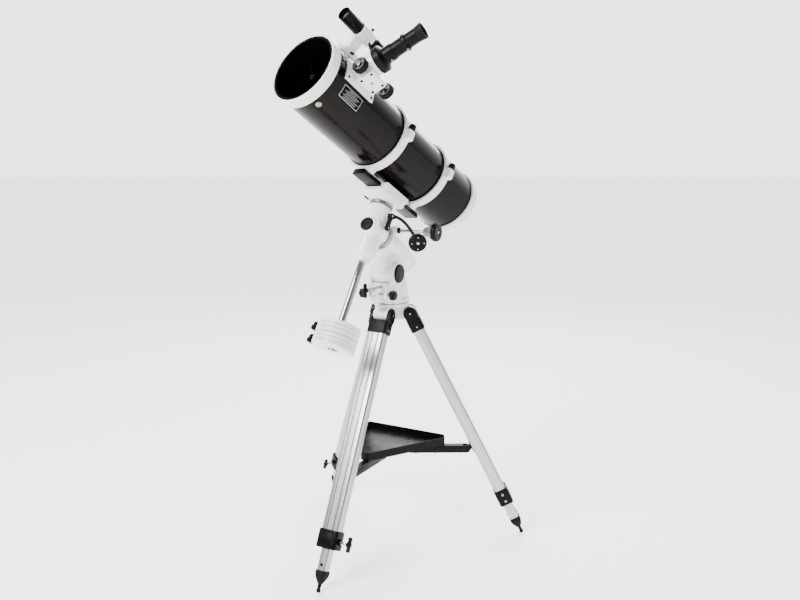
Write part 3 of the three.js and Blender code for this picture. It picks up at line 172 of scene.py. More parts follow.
class Mask:
    """Shader node groups that more than one finish uses."""

    @staticmethod
    def grain() -> bpy.types.NodeTree:
        """Fine grain: a height, and a slower cloudy mask, both from noise on a vector."""

        def fill(tree: bpy.types.NodeTree, given: bpy.types.NodeOutputs) -> dict[str, bpy.types.NodeSocket]:
            """The grain's inside."""
            place, scale = given["Vector"], given["Scale"]
            fine = node(tree, Kind.NOISE, {"Vector": place, "Scale": scale, "Detail": 4.0})
            slow = node(tree, Kind.NOISE, {"Vector": place, "Scale": product(tree, scale, 0.03),
                                           "Detail": 3.0})
            return {"Height": fine.outputs["Fac"], "Clouds": spread(tree, slow.outputs["Fac"], 0.38, 0.64)}

        inputs = {"Vector": (Kind.VECTOR, None), "Scale": (Kind.FLOAT, 600.0)}
        return group("Grain", "ShaderNodeTree", inputs, {"Height": Kind.FLOAT, "Clouds": Kind.FLOAT}, fill)

    @staticmethod
    def edge_wear() -> bpy.types.NodeTree:
        """Wear on sharp edges: where the rounded normal leaves the true one, broken up by noise."""

        def fill(tree: bpy.types.NodeTree, given: bpy.types.NodeOutputs) -> dict[str, bpy.types.NodeSocket]:
            """The wear's inside."""
            rounded = node(tree, "ShaderNodeBevel", {"Radius": given["Radius"]}, samples=4)
            normal = node(tree, Kind.GEOMETRY)
            both = {0: rounded.outputs["Normal"], 1: normal.outputs["Normal"]}
            dot = node(tree, "ShaderNodeVectorMath", both, operation="DOT_PRODUCT")
            edge = spread(tree, dot.outputs["Value"], 0.985, 0.86)
            noise = node(tree, Kind.NOISE, {"Vector": given["Vector"], "Scale": 170.0, "Detail": 5.0})
            patches = spread(tree, noise.outputs["Fac"], 0.46, 0.62)
            return {"Mask": product(tree, product(tree, edge, patches), given["Amount"])}

        inputs = {
            "Vector": (Kind.VECTOR, None), "Radius": (Kind.FLOAT, 0.0012), "Amount": (Kind.FLOAT, 0.5),
        }
        return group("Edge wear", "ShaderNodeTree", inputs, {"Mask": Kind.FLOAT}, fill)

    @staticmethod
    def dust() -> bpy.types.NodeTree:
        """Dust that settles on what faces up, thinned by noise."""

        def fill(tree: bpy.types.NodeTree, given: bpy.types.NodeOutputs) -> dict[str, bpy.types.NodeSocket]:
            """The dust's inside."""
            normal = node(tree, Kind.GEOMETRY).outputs["Normal"]
            parts = node(tree, "ShaderNodeSeparateXYZ", {0: normal})
            upward = spread(tree, parts.outputs["Z"], 0.3, 1.0)
            noise = node(tree, Kind.NOISE, {"Vector": given["Vector"], "Scale": 38.0, "Detail": 8.0})
            return {"Mask": product(tree, product(tree, upward, noise.outputs["Fac"]), given["Amount"])}

        inputs = {"Vector": (Kind.VECTOR, None), "Amount": (Kind.FLOAT, 0.2)}
        return group("Dust", "ShaderNodeTree", inputs, {"Mask": Kind.FLOAT}, fill)


# ------------------------------------------------------------------ finishes


@dataclass(frozen=True)
class Finish:
    """One procedural finish.

    Attributes:
        name: the material's name.
        slot: the record's material slot that it stands for.
        colour: main colour, linear.
        shade: second colour, which the clouds mix in.
        roughness: middle roughness.
        spread: how far the clouds move the roughness.
        metallic: 0 for paint and plastic, 1 for bare metal.
        coat: clear coat weight.
        shine: specular level, where 0.5 is plain paint.
        scale: grain per metre.
        stretch: scales the pattern vector, so that a small value draws the grain out along that axis.
        bump: strength of the grain in the normal.
        wear: amount of wear on edges.
        worn: colour under the wear.
        dust: amount of dust on top.
    """

    name: str
    slot: str
    colour: Colour
    shade: Colour
    roughness: float
    spread: float = 0.08
    metallic: float = 0.0
    coat: float = 0.0
    shine: float = 0.5
    scale: float = 900.0
    stretch: Colour = (1.0, 1.0, 1.0)
    bump: float = 0.08
    wear: float = 0.0
    worn: Colour = (0.5, 0.5, 0.5)
    dust: float = 0.0

    DUST_COLOUR = (0.55, 0.53, 0.5)

    def material(self) -> bpy.types.Material:
        """The finish's material, built at its first use, whose pattern reads the "local" attribute."""
        found = bpy.data.materials.get(self.name)
        if found:
            return found
        made = bpy.data.materials.new(self.name)
        made.use_nodes = True
        made.diffuse_color = (*self.colour, 1.0)
        tree = made.node_tree
        own = node(tree, Kind.ATTRIBUTE, attribute_name="local").outputs["Vector"]
        drawn = node(tree, "ShaderNodeMapping", {"Vector": own, "Scale": self.stretch}).outputs["Vector"]
        grain = self._mask(tree, Mask.grain(), {"Vector": drawn, "Scale": self.scale})
        clouds = grain.outputs["Clouds"]
        tint = self._mix(tree, clouds, self.colour, self.shade)
        if self.wear > 0:
            wear = self._mask(tree, Mask.edge_wear(), {"Vector": own, "Amount": self.wear})
            tint = self._mix(tree, wear.outputs["Mask"], tint, self.worn)
        if self.dust > 0:
            dust = self._mask(tree, Mask.dust(), {"Vector": own, "Amount": self.dust})
            tint = self._mix(tree, dust.outputs["Mask"], tint, self.DUST_COLOUR)
        rough = {
            "Value": clouds, "To Min": max(0.02, self.roughness - self.spread),
            "To Max": min(1.0, self.roughness + self.spread),
        }
        height = {"Height": grain.outputs["Height"], "Strength": self.bump, "Distance": 0.0004}
        surface = tree.nodes["Principled BSDF"]
        for key, value in (
            ("Metallic", self.metallic), ("Coat Weight", self.coat), ("Coat Roughness", 0.06),
            ("Specular IOR Level", self.shine),
        ):
            surface.inputs[key].default_value = value
        tree.links.new(tint, surface.inputs["Base Color"])
        tree.links.new(node(tree, Kind.RANGE, rough).outputs["Result"], surface.inputs["Roughness"])
        tree.links.new(node(tree, "ShaderNodeBump", height).outputs["Normal"], surface.inputs["Normal"])
        return made

    @staticmethod
    def _mask(tree: bpy.types.NodeTree, inside: bpy.types.NodeTree, inputs: Inputs) -> bpy.types.Node:
        """Places a shader group with its own values."""
        made = node(tree, "ShaderNodeGroup", node_tree=inside)
        for key, value in inputs.items():
            if isinstance(value, bpy.types.NodeSocket):
                tree.links.new(value, made.inputs[key])
            else:
                made.inputs[key].default_value = value
        return made

    @staticmethod
    def _mix(
        tree: bpy.types.NodeTree, mask: bpy.types.NodeSocket, under: bpy.types.NodeSocket | Colour,
        over: Colour,
    ) -> bpy.types.NodeSocket:
        """Lays a colour over another where a mask says."""
        below = under if isinstance(under, bpy.types.NodeSocket) else (*under, 1.0)
        made = node(tree, "ShaderNodeMix", data_type="RGBA")
        made.inputs[7].default_value = (*over, 1.0)
        tree.links.new(mask, made.inputs[0])
        if isinstance(below, bpy.types.NodeSocket):
            tree.links.new(below, made.inputs[6])
        else:
            made.inputs[6].default_value = below
        return made.outputs[2]


@dataclass(frozen=True)
class Glass:
    """A clear, lightly coated lens."""

    name: str
    slot: str
    colour: Colour = (0.55, 0.62, 0.75)

    def material(self) -> bpy.types.Material:
        """The lens's material, built at its first use."""
        found = bpy.data.materials.get(self.name)
        if found:
            return found
        made = bpy.data.materials.new(self.name)
        made.use_nodes = True
        tree = made.node_tree
        own = node(tree, Kind.ATTRIBUTE, attribute_name="local").outputs["Vector"]
        noise = node(tree, Kind.NOISE, {"Vector": own, "Scale": 90.0}).outputs["Fac"]
        rough = node(tree, Kind.RANGE, {"Value": noise, "To Min": 0.01, "To Max": 0.05})
        surface = tree.nodes["Principled BSDF"]
        surface.inputs["Base Color"].default_value = (*self.colour, 1.0)
        surface.inputs["Transmission Weight"].default_value = 0.85
        surface.inputs["Coat Weight"].default_value = 0.6
        tree.links.new(rough.outputs["Result"], surface.inputs["Roughness"])
        return made


WHITE = Finish(
    "White gloss paint", "white_casting", (0.84, 0.85, 0.865), (0.78, 0.79, 0.81), 0.26, 0.06,
    coat=0.35, scale=700.0, bump=0.05, wear=0.12, worn=(0.5, 0.5, 0.51), dust=0.05,
)
WHITE_IRON = Finish(
    "White paint on iron", "white_iron", (0.79, 0.795, 0.80), (0.71, 0.71, 0.71), 0.34, 0.08,
    coat=0.2, scale=420.0, bump=0.12, wear=0.3, worn=(0.34, 0.32, 0.30), dust=0.08,
)
TUBE_BLACK = Finish(
    "Black tube lacquer", "tube_lacquer", (0.0026, 0.0016, 0.0011), (0.0040, 0.0026, 0.0019), 0.16, 0.05,
    shine=0.10, scale=2600.0, bump=0.02,
)
INSIDE_BLACK = Finish(
    "Flat black inside", "tube_lacquer", (0.0012, 0.0011, 0.0010), (0.0022, 0.0020, 0.0018), 0.7, 0.1,
    shine=0.03, scale=800.0, bump=0.12,
)
PLASTIC = Finish(
    "Black moulded plastic", "black_plastic", (0.0020, 0.0020, 0.0022), (0.0032, 0.0032, 0.0035), 0.34,
    0.08,
    shine=0.08, scale=1500.0, bump=0.14, wear=0.12, worn=(0.05, 0.05, 0.052),
)
RUBBER = Finish(
    "Black rubber", "black_plastic", (0.0024, 0.0024, 0.0024), (0.0042, 0.0041, 0.0040), 0.6, 0.1,
    shine=0.10, scale=700.0, bump=0.2, wear=0.15, worn=(0.04, 0.038, 0.036), dust=0.03,
)
POWDER = Finish(
    "Black powder coat", "black_metal", (0.0026, 0.0027, 0.0033), (0.0042, 0.0043, 0.0052), 0.34, 0.08,
    shine=0.08, scale=1300.0, bump=0.2, wear=0.15, worn=(0.07, 0.07, 0.075), dust=0.02,
)
ANODISED = Finish(
    "Black anodised aluminium", "black_anodised", (0.0018, 0.0018, 0.0020), (0.0028, 0.0028, 0.0030), 0.30,
    0.05,
    shine=0.07, scale=1700.0, bump=0.03, wear=0.08, worn=(0.12, 0.12, 0.125),
)
ALUMINIUM = Finish(
    "Satin aluminium", "leg_aluminium", (0.43, 0.44, 0.46), (0.34, 0.35, 0.37), 0.32, 0.07,
    metallic=0.95, scale=2400.0, stretch=(1.0, 1.0, 0.012), bump=0.16, wear=0.2, worn=(0.75, 0.75, 0.77),
)
CHROME = Finish(
    "Polished chrome", "chrome_steel", (0.36, 0.365, 0.38), (0.31, 0.315, 0.33), 0.10, 0.04,
    metallic=1.0, scale=900.0, bump=0.02,
)
SILVER = Finish(
    "Brushed silver", "silver_metal", (0.29, 0.295, 0.30), (0.22, 0.225, 0.23), 0.28, 0.08,
    metallic=1.0, scale=1600.0, stretch=(1.0, 1.0, 0.06), bump=0.1, wear=0.3, worn=(0.7, 0.7, 0.7),
)
BRASS = Finish(
    "Tan plated steel", "silver_metal", (0.40, 0.33, 0.24), (0.31, 0.25, 0.18), 0.28, 0.08,
    metallic=1.0, scale=1200.0, bump=0.06, wear=0.4, worn=(0.6, 0.55, 0.45),
)
# Black for the printed scale marks; the same black also fills screw sockets, counterweight grooves and the
# mirror cell's holes as painted shade.
INK_AND_SHADE = Finish(
    "Black scale ink and painted shade", "silver_metal", (0.006, 0.006, 0.006), (0.012, 0.012, 0.012), 0.5, 0.1, shine=0.2,
    scale=800.0,
)
# Dark aluminium laid in the leg's grooves as painted shade.
GROOVE_SHADE = Finish(
    "Shadowed aluminium", "leg_aluminium", (0.05, 0.052, 0.06), (0.035, 0.037, 0.042), 0.5, 0.1,
    metallic=0.6, scale=1500.0, stretch=(1.0, 1.0, 0.02), bump=0.1,
)
MIRROR = Finish(
    "Mirror coating", "mirror_glass", (0.86, 0.88, 0.90), (0.84, 0.86, 0.88), 0.025, 0.01,
    metallic=1.0, scale=300.0, bump=0.0,
)
GROUND_GLASS = Finish(
    "Ground glass edge", "mirror_glass", (0.42, 0.47, 0.47), (0.34, 0.39, 0.39), 0.55, 0.08,
    scale=1500.0, bump=0.2,
)
FELT = Finish(
    "Dark felt", "black_plastic", (0.006, 0.006, 0.007), (0.014, 0.014, 0.015), 0.9, 0.06,
    shine=0.1, scale=3200.0, bump=0.7,
)
PANEL = Finish(
    "Blank label", "tube_lacquer", (0.0022, 0.0020, 0.0020), (0.0032, 0.0030, 0.0028), 0.5, 0.05,
    shine=0.03, scale=900.0, bump=0.02,
)
LENS = Glass("Coated lens", "black_anodised")


# ------------------------------------------------------------------ geometry nodes


class Pattern:
    """Geometry Nodes trees for what repeats or follows a rule, each built once with named inputs."""

    @staticmethod
    def _tree(
        name: str, inputs: dict[str, tuple[str, object]],
        fill: Callable[[bpy.types.NodeTree, bpy.types.NodeOutputs], bpy.types.NodeSocket],
    ) -> bpy.types.NodeTree:
        """A tree with named inputs that ends in Realize Instances and Set Material.

        Args:
            name: the tree's name.
            inputs: input name to its socket type and default.
            fill: builds the inside from the tree and its inputs, and gives the geometry.

        Returns:
            The tree.
        """

        def close(tree: bpy.types.NodeTree, given: bpy.types.NodeOutputs) -> dict[str,
                                                                                  bpy.types.NodeSocket]:
            """The inside, realized and dressed."""
            real = node(tree, "GeometryNodeRealizeInstances", {"Geometry": fill(tree, given)})
            dress = {"Geometry": real.outputs["Geometry"], "Material": given["Material"]}
            return {"Geometry": node(tree, "GeometryNodeSetMaterial", dress).outputs["Geometry"]}

        sockets = {"Geometry": (Kind.SHAPE, None), **inputs, "Material": ("NodeSocketMaterial", None)}
        return group(name, "GeometryNodeTree", sockets, {"Geometry": Kind.SHAPE}, close)

    @classmethod
    def ridges(cls) -> bpy.types.NodeTree:
        """Round ridges that stand in a ring about Z, as on a knurled rim."""

        def fill(tree: bpy.types.NodeTree, given: bpy.types.NodeOutputs) -> bpy.types.NodeSocket:
            """The ridges."""
            circle = node(tree, "GeometryNodeMeshCircle",
                          {"Vertices": given["Count"], "Radius": given["Radius"]})
            size = {"Vertices": given["Sides"], "Radius": given["Ridge radius"], "Depth": given["Length"]}
            ridge = node(tree, "GeometryNodeMeshCylinder", size)
            where = {"Points": circle.outputs["Mesh"], "Instance": ridge.outputs["Mesh"]}
            return node(tree, "GeometryNodeInstanceOnPoints", where).outputs["Instances"]

        inputs = {
            "Count": (Kind.WHOLE, 24), "Radius": (Kind.FLOAT, 10.0), "Ridge radius": (Kind.FLOAT, 1.0),
            "Length": (Kind.FLOAT, 8.0), "Sides": (Kind.WHOLE, 8),
        }
        return cls._tree("Ridges in a ring", inputs, fill)

    @classmethod
    def marks(cls) -> bpy.types.NodeTree:
        """Blocks that stand in a ring about Z and turn with it, as marks on a divided circle."""

        def fill(tree: bpy.types.NodeTree, given: bpy.types.NodeOutputs) -> bpy.types.NodeSocket:
            """The marks."""
            circle = node(tree, "GeometryNodeMeshCircle",
                          {"Vertices": given["Count"], "Radius": given["Radius"]})
            size = node(tree, Kind.COMBINE, {"X": given["Depth"], "Y": given["Width"],
                                             "Z": given["Length"]})
            block = node(tree, "GeometryNodeMeshCube", {"Size": size.outputs["Vector"]})
            index = node(tree, "GeometryNodeInputIndex").outputs["Index"]
            share = node(tree, Kind.MATH, {0: index, 1: given["Count"]}, operation="DIVIDE").outputs[0]
            turn = node(tree, Kind.COMBINE, {"Z": product(tree, share, 2.0 * math.pi)})
            where = {
                "Points": circle.outputs["Mesh"], "Instance": block.outputs["Mesh"],
                "Rotation": turn.outputs["Vector"],
            }
            return node(tree, "GeometryNodeInstanceOnPoints", where).outputs["Instances"]

        inputs = {
            "Count": (Kind.WHOLE, 36), "Radius": (Kind.FLOAT, 10.0), "Depth": (Kind.FLOAT, 0.4),
            "Width": (Kind.FLOAT, 0.5), "Length": (Kind.FLOAT, 3.0),
        }
        return cls._tree("Marks in a ring", inputs, fill)

    @classmethod
    def section(cls) -> bpy.types.NodeTree:
        """A closed section drawn out along Z with its ends filled, as a long extrusion is."""

        def fill(tree: bpy.types.NodeTree, given: bpy.types.NodeOutputs) -> bpy.types.NodeSocket:
            """The extrusion."""
            first = node(tree, Kind.COMBINE, {"Z": given["From"]})
            last = node(tree, Kind.COMBINE, {"Z": given["To"]})
            ends = {"Start": first.outputs["Vector"], "End": last.outputs["Vector"]}
            line = node(tree, "GeometryNodeCurvePrimitiveLine", ends)
            outline = node(tree, "GeometryNodeMeshToCurve", {"Mesh": given["Geometry"]})
            drawn = {
                "Curve": line.outputs["Curve"], "Profile Curve": outline.outputs["Curve"],
                "Fill Caps": True,
            }
            return node(tree, "GeometryNodeCurveToMesh", drawn).outputs["Mesh"]

        return cls._tree("Drawn section", {"From": (Kind.FLOAT, 0.0), "To": (Kind.FLOAT, 100.0)}, fill)

    @staticmethod
    def make(
        tree: bpy.types.NodeTree, values: dict[str, object], source: bpy.types.Mesh | None = None,
    ) -> bpy.types.Mesh:
        """Runs a tree on a scratch object.

        Args:
            tree: one of this class's trees.
            values: its inputs by name. Those left out keep their defaults.
            source: the mesh that the tree starts from, if it uses one.

        Returns:
            A plain mesh, about the local origin. The scratch object is removed.
        """
        bed = bpy.data.objects.new("bed", source or bpy.data.meshes.new("bed"))
        bpy.context.scene.collection.objects.link(bed)
        modifier = bed.modifiers.new("pattern", "NODES")
        modifier.node_group = tree
        for item in tree.interface.items_tree:
            if item.in_out == "INPUT" and item.name in values:
                modifier[item.identifier] = values[item.name]
        ready = bed.evaluated_get(bpy.context.evaluated_depsgraph_get())
        mesh = bpy.data.meshes.new_from_object(ready)
        bpy.data.objects.remove(bed)
        return mesh


# ------------------------------------------------------------------ mesh building


def smooth_corners(outline: Outline, radius: float, closed: bool, steps: int = 3) -> list[Point]:
    """Rounds the corners of an outline.

    Args:
        outline: points in order.
        radius: how far each corner is rounded, less where its sides are short.
        closed: whether the last point joins the first.
        steps: pieces in each rounded corner.

    Returns:
        The rounded outline.
    """
    count = len(outline)
    rounded: list[Point] = []
    for i, here in enumerate(outline):
        if radius <= 0 or (not closed and i in (0, count - 1)):
            rounded.append(here)
            continue
        corner = Vector(here)
        before, after = Vector(outline[i - 1]) - corner, Vector(outline[(i + 1) % count]) - corner
        if min(before.length, after.length) < 1e-6 or before.normalized().dot(after.normalized()) < -0.985:
            rounded.append(here)
            continue
        cut = min(radius, 0.45 * before.length, 0.45 * after.length)
        start, end = corner + before.normalized() * cut, corner + after.normalized() * cut
        for k in range(steps + 1):
            t = k / steps
            rounded.append(tuple(start * (1 - t) ** 2 + corner * 2 * t * (1 - t) + end * t * t))
    return rounded


def arc(centre: Point, radius: float, start: float, end: float, steps: int = 12) -> list[Point]:
    """Points on an arc, in degrees from the first axis."""
    return [
        (
            centre[0] + radius * math.cos(math.radians(start + (end - start) * k / steps)),
            centre[1] + radius * math.sin(math.radians(start + (end - start) * k / steps)),
        )
        for k in range(steps + 1)
    ]


def rectangle(width: float, height: float, corner: float, steps: int = 5) -> list[Point]:
    """A rectangle centred on the origin with round corners."""
    x, y = width / 2 - corner, height / 2 - corner
    points: list[Point] = []
    for (cx, cy), first in zip(((x, y), (-x, y), (-x, -y), (x, -y)), (0, 90, 180, 270)):
        points += arc((cx, cy), corner, first, first + 90, steps)
    return points


def around(count: int, first: float = 0.0) -> list[float]:
    """Evenly spread angles, in degrees."""
    return [first + 360.0 * k / count for k in range(count)]


def turned(axis: Axis, degrees: float) -> Matrix:
    """A turn about a local axis."""
    return Matrix.Rotation(math.radians(degrees), 4, axis.value)


@dataclass(frozen=True)
class Place:
    """A right-handed frame in the row frame, whose own lengths are millimetres."""

    matrix: Matrix

    @classmethod
    def of(cls, origin: Vector, x: Vector, z: Vector) -> "Place":
        """A frame from its origin in metres and two of its axes.

        Args:
            origin: the frame's origin, in metres.
            x: direction of its X, made square to z.
            z: direction of its Z.

        Returns:
            The frame.
        """
        up = z.normalized()
        side = up.cross(x).normalized()
        ahead = side.cross(up)
        matrix = Matrix((ahead, side, up)).transposed().to_4x4()
        return cls(Matrix.Translation(origin) @ matrix @ Matrix.Scale(MM, 4))


class Shape:
    """A mesh under way, in millimetres in a local frame, with one finish for each material slot."""

    def __init__(self, *finishes: Finish | Glass) -> None:
        """Starts empty.

        Args:
            finishes: the finishes, in the order of the slots that the methods below name.
        """
        self.mesh = bmesh.new()
        self.finishes = finishes

    def add(self, part: bmesh.types.BMesh, slot: int = 0, matrix: Matrix | None = None) -> None:
        """Adds a closed part, with its faces turned outwards."""
        bmesh.ops.recalc_face_normals(part, faces=part.faces)
        for face in part.faces:
            face.material_index = slot
        held = bpy.data.meshes.new("part")
        part.to_mesh(held)
        part.free()
        if matrix is not None:
            held.transform(matrix)
        self.mesh.from_mesh(held)
        bpy.data.meshes.remove(held)

    def skin(
        self, corners: Sequence[Sequence[Sequence[float]]], slot: int = 0, closed: bool = False,
        bevel: float = 0.0,
    ) -> "Shape":
        """Adds a closed part from rings of corners.

        Args:
            corners: rings with the same number of corners, in order.
            slot: material slot.
            closed: whether the last ring joins the first. Otherwise the ends are filled.
            bevel: bevel of the sharp edges.

        Returns:
            This shape.
        """
        part = bmesh.new()
        rings = [[part.verts.new(corner) for corner in ring] for ring in corners]
        for low, high in zip(rings, rings[1:] + (rings[:1] if closed else [])):
            for k in range(len(low)):
                part.faces.new((low[k], low[(k + 1) % len(low)], high[(k + 1) % len(low)], high[k]))
        if not closed:
            part.faces.new(rings[0])
            part.faces.new(rings[-1])
        self.bevel(part, bevel, 3)
        self.add(part, slot)
        return self

    def lathe(
        self, axis: Axis, outline: Outline, centre: Point = (0, 0), steps: int = 64, slot: int = 0,
        fillet: float = 0.8, closed: bool = False, wave: Callable[[float], float] | None = None,
        matrix: Matrix | None = None,
    ) -> "Shape":
        """Adds a turned part.

        Args:
            axis: the axis that it is turned about.
            outline: (radius, place along the axis) points.
            centre: the axis's place across.
            steps: sides round the part.
            slot: material slot.
            fillet: rounding of the outline's corners.
            closed: whether the outline is a closed loop, as of a ring.
            wave: radius factor by angle, for lobes.
            matrix: where the part goes afterwards.

        Returns:
            This shape.
        """
        part = bmesh.new()
        rings = []
        for radius, along in smooth_corners(outline, fillet, closed):
            if radius < 1e-6:
                rings.append([part.verts.new(axis.lay(centre[0], centre[1], along))])
                continue
            ring = []
            for k in range(steps):
                angle = 2 * math.pi * k / steps
                reach = radius * (wave(angle) if wave else 1.0)
                u, v = centre[0] + reach * math.cos(angle), centre[1] + reach * math.sin(angle)
                ring.append(part.verts.new(axis.lay(u, v, along)))
            rings.append(ring)
        pairs = list(zip(rings, rings[1:])) + ([(rings[-1], rings[0])] if closed else [])
        for low, high in pairs:
            for k in range(steps):
                corners = [low[k % len(low)], low[(k + 1) % steps % len(low)],
                           high[(k + 1) % steps % len(high)], high[k % len(high)]]
                corners = list(dict.fromkeys(corners))
                if len(corners) > 2:
                    part.faces.new(corners)
        self.add(part, slot, matrix)
        return self

    def bar(
        self, axis: Axis, radius: float, start: float, end: float, centre: Point = (0, 0),
        steps: int = 32, slot: int = 0, fillet: float = 0.6, end_radius: float | None = None,
        matrix: Matrix | None = None,
    ) -> "Shape":
        """Adds a round bar or cone with eased ends."""
        top = radius if end_radius is None else end_radius
        outline = [(0, start), (radius, start), (top, end), (0, end)]
        return self.lathe(axis, outline, centre, steps, slot, fillet, matrix=matrix)

    def ring(
        self, axis: Axis, inside: float, outside: float, start: float, end: float,
        centre: Point = (0, 0), steps: int = 72, slot: int = 0, fillet: float = 0.6,
        matrix: Matrix | None = None,
    ) -> "Shape":
        """Adds a ring with eased edges."""
        outline = [(inside, start), (outside, start), (outside, end), (inside, end)]
        return self.lathe(axis, outline, centre, steps, slot, fillet, closed=True, matrix=matrix)

    def plate(
        self, axis: Axis, outline: Outline, start: float, end: float, slot: int = 0, bevel: float = 0.8,
        matrix: Matrix | None = None, segments: int = 2,
    ) -> "Shape":
        """Adds a flat outline given thickness along an axis, with bevelled edges."""
        part = bmesh.new()
        low = [part.verts.new(axis.lay(u, v, start)) for u, v in outline]
        face = part.faces.new(low)
        grown = bmesh.ops.extrude_face_region(part, geom=[face])
        lift = axis.lay(0, 0, end - start)
        bmesh.ops.translate(part, verts=[g for g in grown["geom"] if isinstance(g, bmesh.types.BMVert)],
                            vec=lift)
        self.bevel(part, bevel, segments)
        self.add(part, slot, matrix)
        return self

    def block(
        self, x: Point, y: Point, z: Point, slot: int = 0, bevel: float = 0.8,
        matrix: Matrix | None = None, segments: int = 2,
    ) -> "Shape":
        """Adds a block between limits, with bevelled edges."""
        part = bmesh.new()
        bmesh.ops.create_cube(part, size=1.0)
        for vert in part.verts:
            vert.co = Vector((
                x[0] if vert.co.x < 0 else x[1], y[0] if vert.co.y < 0 else y[1],
                z[0] if vert.co.z < 0 else z[1],
            ))
        self.bevel(part, bevel, segments)
        self.add(part, slot, matrix)
        return self

    @staticmethod
    def bevel(part: bmesh.types.BMesh, width: float, segments: int) -> None:
        """Bevels the sharp edges of a part."""
        bmesh.ops.recalc_face_normals(part, faces=part.faces)
        sharp = [e for e in part.edges if e.is_manifold and e.calc_face_angle(0.0) > math.radians(32)]
        if width > 0 and sharp:
            bmesh.ops.bevel(
                part, geom=sharp, offset=width, offset_type="OFFSET", segments=segments, profile=0.6,
                affect="EDGES", clamp_overlap=True,
            )

    def sweep(
        self, path: Sequence[Vector], radius: float | Sequence[float], steps: int = 14, slot: int = 0,
    ) -> "Shape":
        """Adds a round bar along a path.

        Args:
            path: points in order.
            radius: one radius, or one for each point.
            steps: sides round the bar.
            slot: material slot.

        Returns:
            This shape.
        """
        across = (path[1] - path[0]).orthogonal().normalized()
        rings = []
        for i, point in enumerate(path):
            ahead = (path[min(i + 1, len(path) - 1)] - path[max(i - 1, 0)]).normalized()
            across = (across - ahead * across.dot(ahead)).normalized()
            other = ahead.cross(across)
            reach = radius if isinstance(radius, (int, float)) else radius[i]
            angles = (2 * math.pi * k / steps for k in range(steps))
            rings.append([point + (across * math.cos(a) + other * math.sin(a)) * reach for a in angles])
        return self.skin(rings, slot)

    def pattern(
        self, tree: bpy.types.NodeTree, values: dict[str, float], matrix: Matrix, slot: int = 0,
        source: bpy.types.Mesh | None = None,
    ) -> "Shape":
        """Adds what a Geometry Nodes tree makes, laid by a matrix."""
        made = Pattern.make(tree, {**values, "Material": self.finishes[slot].material()}, source)
        part = bmesh.new()
        part.from_mesh(made)
        bmesh.ops.remove_doubles(part, verts=part.verts, dist=1e-4)
        bpy.data.meshes.remove(made)
        self.add(part, slot, matrix)
        return self

    def draw(self, outline: Outline, start: float, end: float) -> "Shape":
        """Adds a long extrusion of an outline along Z."""
        count = len(outline)
        wire = bpy.data.meshes.new("section")
        wire.from_pydata([(x, y, 0.0) for x, y in outline], [(i, (i + 1) % count) for i in range(count)],
                         [])
        return self.pattern(Pattern.section(), {"From": start, "To": end}, Matrix(), 0, wire)

    def knurl(
        self, axis: Axis, radius: float, start: float, end: float, count: int, ridge: float,
        centre: Point = (0, 0), slot: int = 0, matrix: Matrix | None = None,
    ) -> "Shape":
        """Adds a ring of round ridges about an axis."""
        middle = axis.lay(centre[0], centre[1], (start + end) / 2)
        lay = (matrix or Matrix()) @ Matrix.Translation(middle) @ axis.stand
        values = {"Count": count, "Radius": radius - ridge * 0.45, "Ridge radius": ridge,
                  "Length": end - start}
        return self.pattern(Pattern.ridges(), values, lay, slot)

    def screw(
        self, at: Vector, out: Vector, radius: float, slot: int = 0, height: float = 1.6, hole: int = 0,
    ) -> "Shape":
        """Adds a cap screw's head, with a dark hexagon in its socket as painted shade.

        Args:
            at: the middle of its seat.
            out: the direction it faces.
            radius: the head's radius.
            slot: material slot of the head.
            height: how far it stands out.
            hole: material slot of the dark hexagon in the socket, painted shade.

        Returns:
            This shape.
        """
        turn = Vector((0, 0, 1)).rotation_difference(out).to_matrix().to_4x4()
        lay = Matrix.Translation(at) @ turn
        socket = radius * 0.5
        outline = [
            (0, -0.4), (radius, -0.4), (radius, height), (socket, height), (socket, height * 0.35),
            (0, height * 0.35),
        ]
        self.lathe(Axis.Z, outline, steps=24, slot=slot, fillet=0.25, matrix=lay)
        # A dark hexagon in the socket: painted shade in the recess.
        self.bar(Axis.Z, socket * 0.96, height * 0.2, height * 0.42, steps=6, slot=hole, fillet=0,
                 matrix=lay)
        return self

    def finish(
        self, name: str, place: Place, body: str, *nodes: str, sharp: float = 34.0,
    ) -> bpy.types.Object:
        """Makes the piece, in place in the row frame.

        Args:
            name: what it is. The object is called this with _form after it, since solids use the bare names.
            place: the frame that the shape was made in.
            body: the moving body that it rides on.
            nodes: the solids that it stands for.
            sharp: edges over this angle stay sharp.

        Returns:
            The piece's object, at the origin.
        """
        name = f"{name}_form"
        data = bpy.data.meshes.new(name)
        self.mesh.to_mesh(data)
        self.mesh.free()
        for finish in self.finishes:
            data.materials.append(finish.material())
        local = data.attributes.new("local", "FLOAT_VECTOR", "POINT")
        local.data.foreach_set("vector", [c * MM for v in data.vertices for c in v.co])
        data.transform(place.matrix)
        data.polygons.foreach_set("use_smooth", [True] * len(data.polygons))
        data.set_sharp_from_angle(angle=math.radians(sharp))
        data.update()
        piece = bpy.data.objects.new(name, data)
        bpy.context.scene.collection.objects.link(piece)
        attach(piece, body)
        if nodes:
            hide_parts(*nodes)
        LOG.info("%s rides on %s, %d faces", name, body, len(data.polygons))
        return piece


# ------------------------------------------------------------------ local frames


